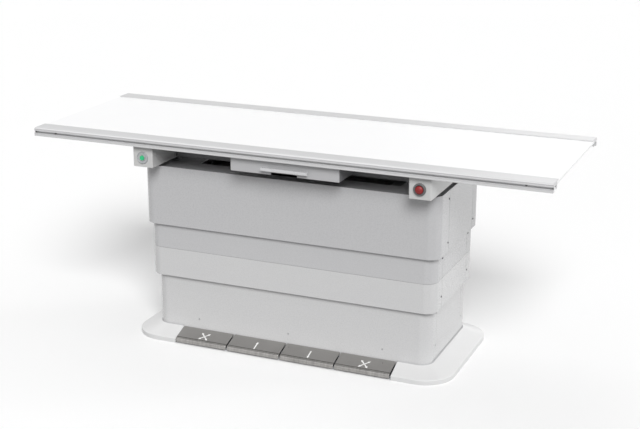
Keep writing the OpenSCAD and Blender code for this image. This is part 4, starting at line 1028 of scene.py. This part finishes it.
@dataclass
class Pedals:
    """Four bent stainless treads with their pivot ribs, white signs and round marks.

    Signs and marks hold each pedal's own place along X.
    """

    front_y: float = -329.0 * MM
    rear_y: float = -248.7 * MM
    front_z: float = 23.6 * MM
    rear_z: float = 48.0 * MM
    skirt_z: float = 6.0 * MM
    nose: float = 4.0 * MM
    sheet: float = 3.0 * MM
    corner: float = 4.0 * MM
    relief: float = 1.0 * MM
    rim: float = 0.35 * MM
    groove_at: float = 11.0 * MM
    groove_half: float = 1.6 * MM
    groove_deep: float = 1.2 * MM
    pivot: tuple[float, float] = (-260.7 * MM, 31.0 * MM)
    pivot_r: float = 6.0 * MM
    rib_t: float = 4.0 * MM
    rib_in: float = 21.0 * MM
    sign_y: float = -293.5 * MM
    mark_y: float = -269.8 * MM
    mark_r: float = 1.9 * MM
    signs: dict[str, tuple[Sign, float]] = field(default_factory=lambda: {
        "pedal_1": (Sign.FOUR_WAY, -367.0 * MM), "pedal_2": (Sign.UP, -125.5 * MM),
        "pedal_3": (Sign.DOWN, 115.0 * MM), "pedal_4": (Sign.FOUR_WAY, 357.0 * MM)})
    marks: dict[str, float] = field(default_factory=lambda: {
        "pedal_3": 13.7 * MM, "pedal_4": 426.6 * MM})

    def tread_z(self, y: Array | float) -> Array | float:
        """Height of the tread at a place along Y: a straight slope between its two ends."""
        return self.front_z + (self.rear_z - self.front_z) * (y - self.front_y) / (
            self.rear_y - self.front_y)

    def section(self, shorter: float, relief: float) -> Array:
        """Section of the bent sheet in Y and Z, with a fine groove behind the nose.

        Args:
            shorter: distance that the rear edge is drawn in.
            relief: distance that the bend is drawn back and down.

        Returns:
            Closed outline, points by two.
        """
        y0, inside, y1 = self.front_y, self.front_y + self.sheet, self.rear_y - shorter
        groove, g = y0 + self.groove_at, self.groove_half
        rows = [(y0, self.skirt_z, .8), (inside, self.skirt_z, .8),
                (inside, self.tread_z(inside) - self.sheet, 2.0),
                (y1, self.tread_z(y1) - self.sheet, .4), (y1, self.tread_z(y1), .8),
                (groove + g, self.tread_z(groove + g), .2),
                (groove, self.tread_z(groove) - self.groove_deep, .2),
                (groove - g, self.tread_z(groove - g) - 0.2 * MM, .2),
                (y0 + relief, self.front_z - 0.4 * MM - relief, self.nose / MM)]
        table = np.array(rows)
        return soft_corners(table[:, :2], table[:, 2] * MM, 6)

    def tread(self, left: float, right: float) -> Skin:
        """The bent sheet, its rear corners rounded in plan and its bend relieved at both ends.

        At a distance d from an end the rear edge draws in by r minus the root of r squared
        less (r - d) squared, the bend draws back by its relief times (1 - d / r) squared,
        and the whole section is inset by a small rim.

        Args:
            left: the tread's left end.
            right: its right end.

        Returns:
            Vertices and faces.
        """
        r = self.corner
        d = np.array([0.0, 0.1, 0.35, 0.7, 1.2, 2.2, 3.2, 4.0]) * MM
        shorter = r - np.sqrt(np.clip(r ** 2 - (r - d) ** 2, 0.0, None))
        eased = self.relief * np.clip(1 - d / r, 0.0, 1.0) ** 2
        drawn = self.rim * (1 - np.sqrt(1 - np.clip(1 - d / self.rim, 0.0, 1.0) ** 2))
        half = np.stack([inset(self.section(float(a), float(b)), float(c))
                         for a, b, c in zip(shorter, eased, drawn)])
        shapes = np.concatenate([half, half[::-1]])
        x = np.concatenate([left + d, (right - d)[::-1]])
        places = np.repeat(x[:, None, None], shapes.shape[1], axis=1)
        return loft(np.concatenate([places, shapes], axis=2))

    def underside(self, left: float, right: float) -> list[Skin]:
        """Three ribs under the tread, and the tube round its pivot pin."""
        y, z = self.pivot
        web = np.array([(-321.0, 23.2), (-249.5, 44.8), (-249.5, 31.0), (-260.7, 25.0),
                        (-272.7, 31.0)]) * MM
        start, end = left + self.rib_in, right - self.rib_in
        skins = [draw_out(web, Axis.X, x, x + self.rib_t, 0.2 * MM, 1)
                 for x in (start, (left + right - self.rib_t) / 2, end - self.rib_t)]
        tube = circle(self.pivot_r) + [y, z]
        return [*skins, draw_out(tube, Axis.X, start, end, 0.3 * MM, 1)]

    def arrow(self, length: float, stroke: float, head: float) -> Array:
        """Outline of an arrow along its own first axis, from its tail at zero."""
        back = length - head
        return np.array([[0.0, -stroke / 2], [back, -stroke / 2], [back, -head / 2],
                         [length, 0.0], [back, head / 2], [back, stroke / 2],
                         [0.0, stroke / 2]])

    def printed(self, outline: Array, centre: tuple[float, float]) -> Skin:
        """A printed shape as a thin slab that lies on the tread.

        Each point's height is the tread's height at its Y, from a hair below it to 0.12
        mm above it.

        Args:
            outline: closed outline in X and Y about zero.
            centre: the sign's place in X and Y.

        Returns:
            Vertices and faces.
        """
        flat = outline + np.array(centre)
        ground = self.tread_z(flat[:, 1])[:, None]
        return loft(np.stack([np.concatenate([flat, ground + up], axis=1)
                              for up in (-0.2 * MM, 0.12 * MM)]))

    def sign(self, kind: Sign, centre: tuple[float, float]) -> Skin:
        """The sign's arrows, each turned to its own direction by a plane rotation.

        A four-way sign is two crossed arrows with a head at both ends.
        """
        if kind is Sign.FOUR_WAY:
            half = self.arrow(29 * MM, 4.6 * MM, 11 * MM)[1:6]
            arrow = np.concatenate([half, -half])
        else:
            arrow = self.arrow(44 * MM, 5.2 * MM, 12 * MM) - np.array([22 * MM, 0.0])
        skins = []
        for a in np.radians(kind.value):
            spin = np.array([[math.cos(a), math.sin(a)], [-math.sin(a), math.cos(a)]])
            skins.append(self.printed(arrow @ spin, centre))
        return merge(skins)

    def build(self) -> None:
        """Make each tread with its ribs, its skirt's finish, the painted shade in its groove, its
        sign and mark.
        """
        bend = self.front_y + self.groove_at
        reach = self.groove_half + 0.1 * MM
        for name, (kind, x) in self.signs.items():
            left, right = (corner.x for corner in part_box(name))
            skin = merge([self.tread(left, right), *self.underside(left, right)])
            made = finish_mesh(name + "_tread", skin, PEDAL_STAINLESS, name, name)
            dress(made, SKIRT_STAINLESS, self.front_y - reach, bend - reach)
            # The groove's faces take the dark steel as painted shade
            dress(made, GROOVE_SHADE_AND_MARK_STEEL, bend - reach, bend + reach)
            finish_mesh(name + "_sign", self.sign(kind, (x, self.sign_y)), SIGN_INK, name)
        for name, x in self.marks.items():
            dot = self.printed(circle(self.mark_r), (x, self.mark_y))
            finish_mesh(name + "_mark", dot, GROOVE_SHADE_AND_MARK_STEEL, name)


@dataclass
class Mechanism:
    """Every CAD node that stays: it keeps its mesh and gets its real finish."""

    def build(self) -> None:
        """Give each shown node the finish of its record slot, or one of its own."""
        slots = {s["node"]: s["material_slot"] for s in frame["record"]["subparts"]}
        for name, node in frame["nodes"].items():
            if node.hide_render:
                continue
            finish = FINISH_OF_NODE.get(name, FINISH_OF_SLOT[slots[name]])
            node.data.materials.clear()
            node.data.materials.append(finish.material())
            LOG.info("node %s: %s", name, finish.name)


@dataclass(frozen=True)
class Lamp:
    """One soft lamp: its azimuth from the front towards +X, elevation and spread in degrees."""

    name: str
    azimuth: float
    elevation: float
    power: float
    spread: float

    def build(self) -> None:
        """Make the lamp, turned towards the object."""
        lamp = bpy.data.lights.new(self.name, "SUN")
        lamp.energy, lamp.angle = self.power, math.radians(self.spread)
        a, e = math.radians(self.azimuth), math.radians(self.elevation)
        source = Vector((math.sin(a) * math.cos(e), -math.cos(a) * math.cos(e), math.sin(e)))
        made = bpy.data.objects.new(self.name, lamp)
        made.rotation_euler = source.to_track_quat("Z", "Y").to_euler()
        bpy.context.scene.collection.objects.link(made)


@dataclass
class Studio:
    """A pale floor, a plain bright room, a key lamp with softer ones round it, and a camera."""

    camera: tuple[float, float, float] = (2.0567, -4.8006, 2.1528)
    look: tuple[float, float, float] = (-0.3773, 0.8777, -0.2955)
    lens: float = 73.02
    shift: float = 0.0156
    horizon: float = 0.17
    ceiling: float = 0.52
    floor_reach: float = 60.0
    lamps: tuple[Lamp, ...] = (
        Lamp("key_lamp", 28.0, 38.0, 2.50, 27.0), Lamp("left_lamp", -104.0, 7.0, 0.30, 40.0),
        Lamp("right_lamp", 124.0, 3.0, 1.50, 16.0), Lamp("top_lamp", -140.0, 55.0, 0.21, 34.0),
        Lamp("back_lamp", -172.0, 16.0, 0.06, 18.0), Lamp("fill_lamp", -8.0, 8.0, 0.16, 24.0))

    def build(self) -> None:
        """Make the floor, the world, the lamps and the camera."""
        scene = bpy.context.scene
        scene.view_settings.view_transform = "Standard"
        self.floor()
        self.world(scene)
        for lamp in self.lamps:
            lamp.build()
        view = bpy.data.cameras.new("view")
        view.lens, view.sensor_width, view.shift_x = self.lens, 36.0, self.shift
        view.clip_start, view.clip_end = 0.1, 200.0
        made = bpy.data.objects.new("view", view)
        made.location = self.camera
        made.rotation_euler = Vector(self.look).to_track_quat("-Z", "Y").to_euler()
        scene.collection.objects.link(made)
        scene.camera = made

    def seen_rays(self, tree: bpy.types.NodeTree) -> list[bpy.types.NodeSocket]:
        """The flags of the rays that see the background: straight, mirrored and through glass."""
        path = add_node(tree, "ShaderNodeLightPath")
        return [path.outputs[f"Is {kind} Ray"] for kind in ("Camera", "Glossy", "Transmission")]

    def floor(self) -> None:
        """A flat floor of matt white paper, which keeps the object's shadow.

        It is seen white, also in metal and glass, and the soft light that it throws back
        is that of a grey studio floor, so that upright faces keep their shade.
        """
        mesh = bpy.data.meshes.new("floor")
        low, high = (-self.floor_reach,) * 2, (self.floor_reach,) * 2
        corners = [(float(x), float(y), 0.0) for x, y in rectangle(low, high)]
        mesh.from_pydata(corners, [], [(0, 1, 2, 3)])
        made = bpy.data.objects.new("floor", mesh)
        bpy.context.scene.collection.objects.link(made)
        paper = bpy.data.materials.new("floor_matt_paper")
        paper.use_nodes = True
        tree = paper.node_tree
        tree.nodes.clear()
        colour = add_node(tree, "ShaderNodeMix",
                          {"data_type": "RGBA", 6: linear("#989898"), 7: linear("#FEFEFE")},
                          {0: highest(tree, *self.seen_rays(tree))})
        shader = add_node(tree, "ShaderNodeBsdfDiffuse", None, {"Color": colour.outputs[2]})
        add_node(tree, "ShaderNodeOutputMaterial", None, {"Surface": shader.outputs[0]})
        mesh.materials.append(paper)

    def world(self, scene: bpy.types.Scene) -> None:
        """A room with a bright ceiling that fades down to its walls.

        The level rises with the sine of a direction's elevation, from the horizon's to
        the ceiling's. Where the room is seen, also in metal and glass, it is white.
        """
        room = bpy.data.worlds.new("room")
        scene.world = room
        room.use_nodes = True
        tree = room.node_tree
        tree.nodes.clear()
        place = add_node(tree, "ShaderNodeTexCoord").outputs["Generated"]
        split = add_node(tree, "ShaderNodeSeparateXYZ", None, {0: place})
        level = add_node(tree, "ShaderNodeMapRange",
                         {"interpolation_type": "SMOOTHSTEP", "From Min": 0.25,
                          "From Max": 0.85, "To Min": self.horizon, "To Max": self.ceiling},
                         {"Value": split.outputs["Z"]})
        shown = highest(tree, *self.seen_rays(tree), level.outputs[0])
        light = add_node(tree, "ShaderNodeBackground", {"Color": (1.0, 1.0, 1.0, 1.0)},
                         {"Strength": shown})
        add_node(tree, "ShaderNodeOutputWorld", None, {"Surface": light.outputs[0]})


def main() -> None:
    """Build every sub-assembly in order."""
    logging.basicConfig(level=logging.INFO, format="%(message)s")
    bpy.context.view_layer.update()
    for assembly in (LiftCover(), BaseCover(), Tabletop(), Carriage(), Buttons(),
                     CassetteUnit(), Pedals(), Mechanism(), Studio()):
        LOG.info("building %s", type(assembly).__name__)
        assembly.build()
    bpy.context.view_layer.update()


if __name__ == "__main__":
    main()
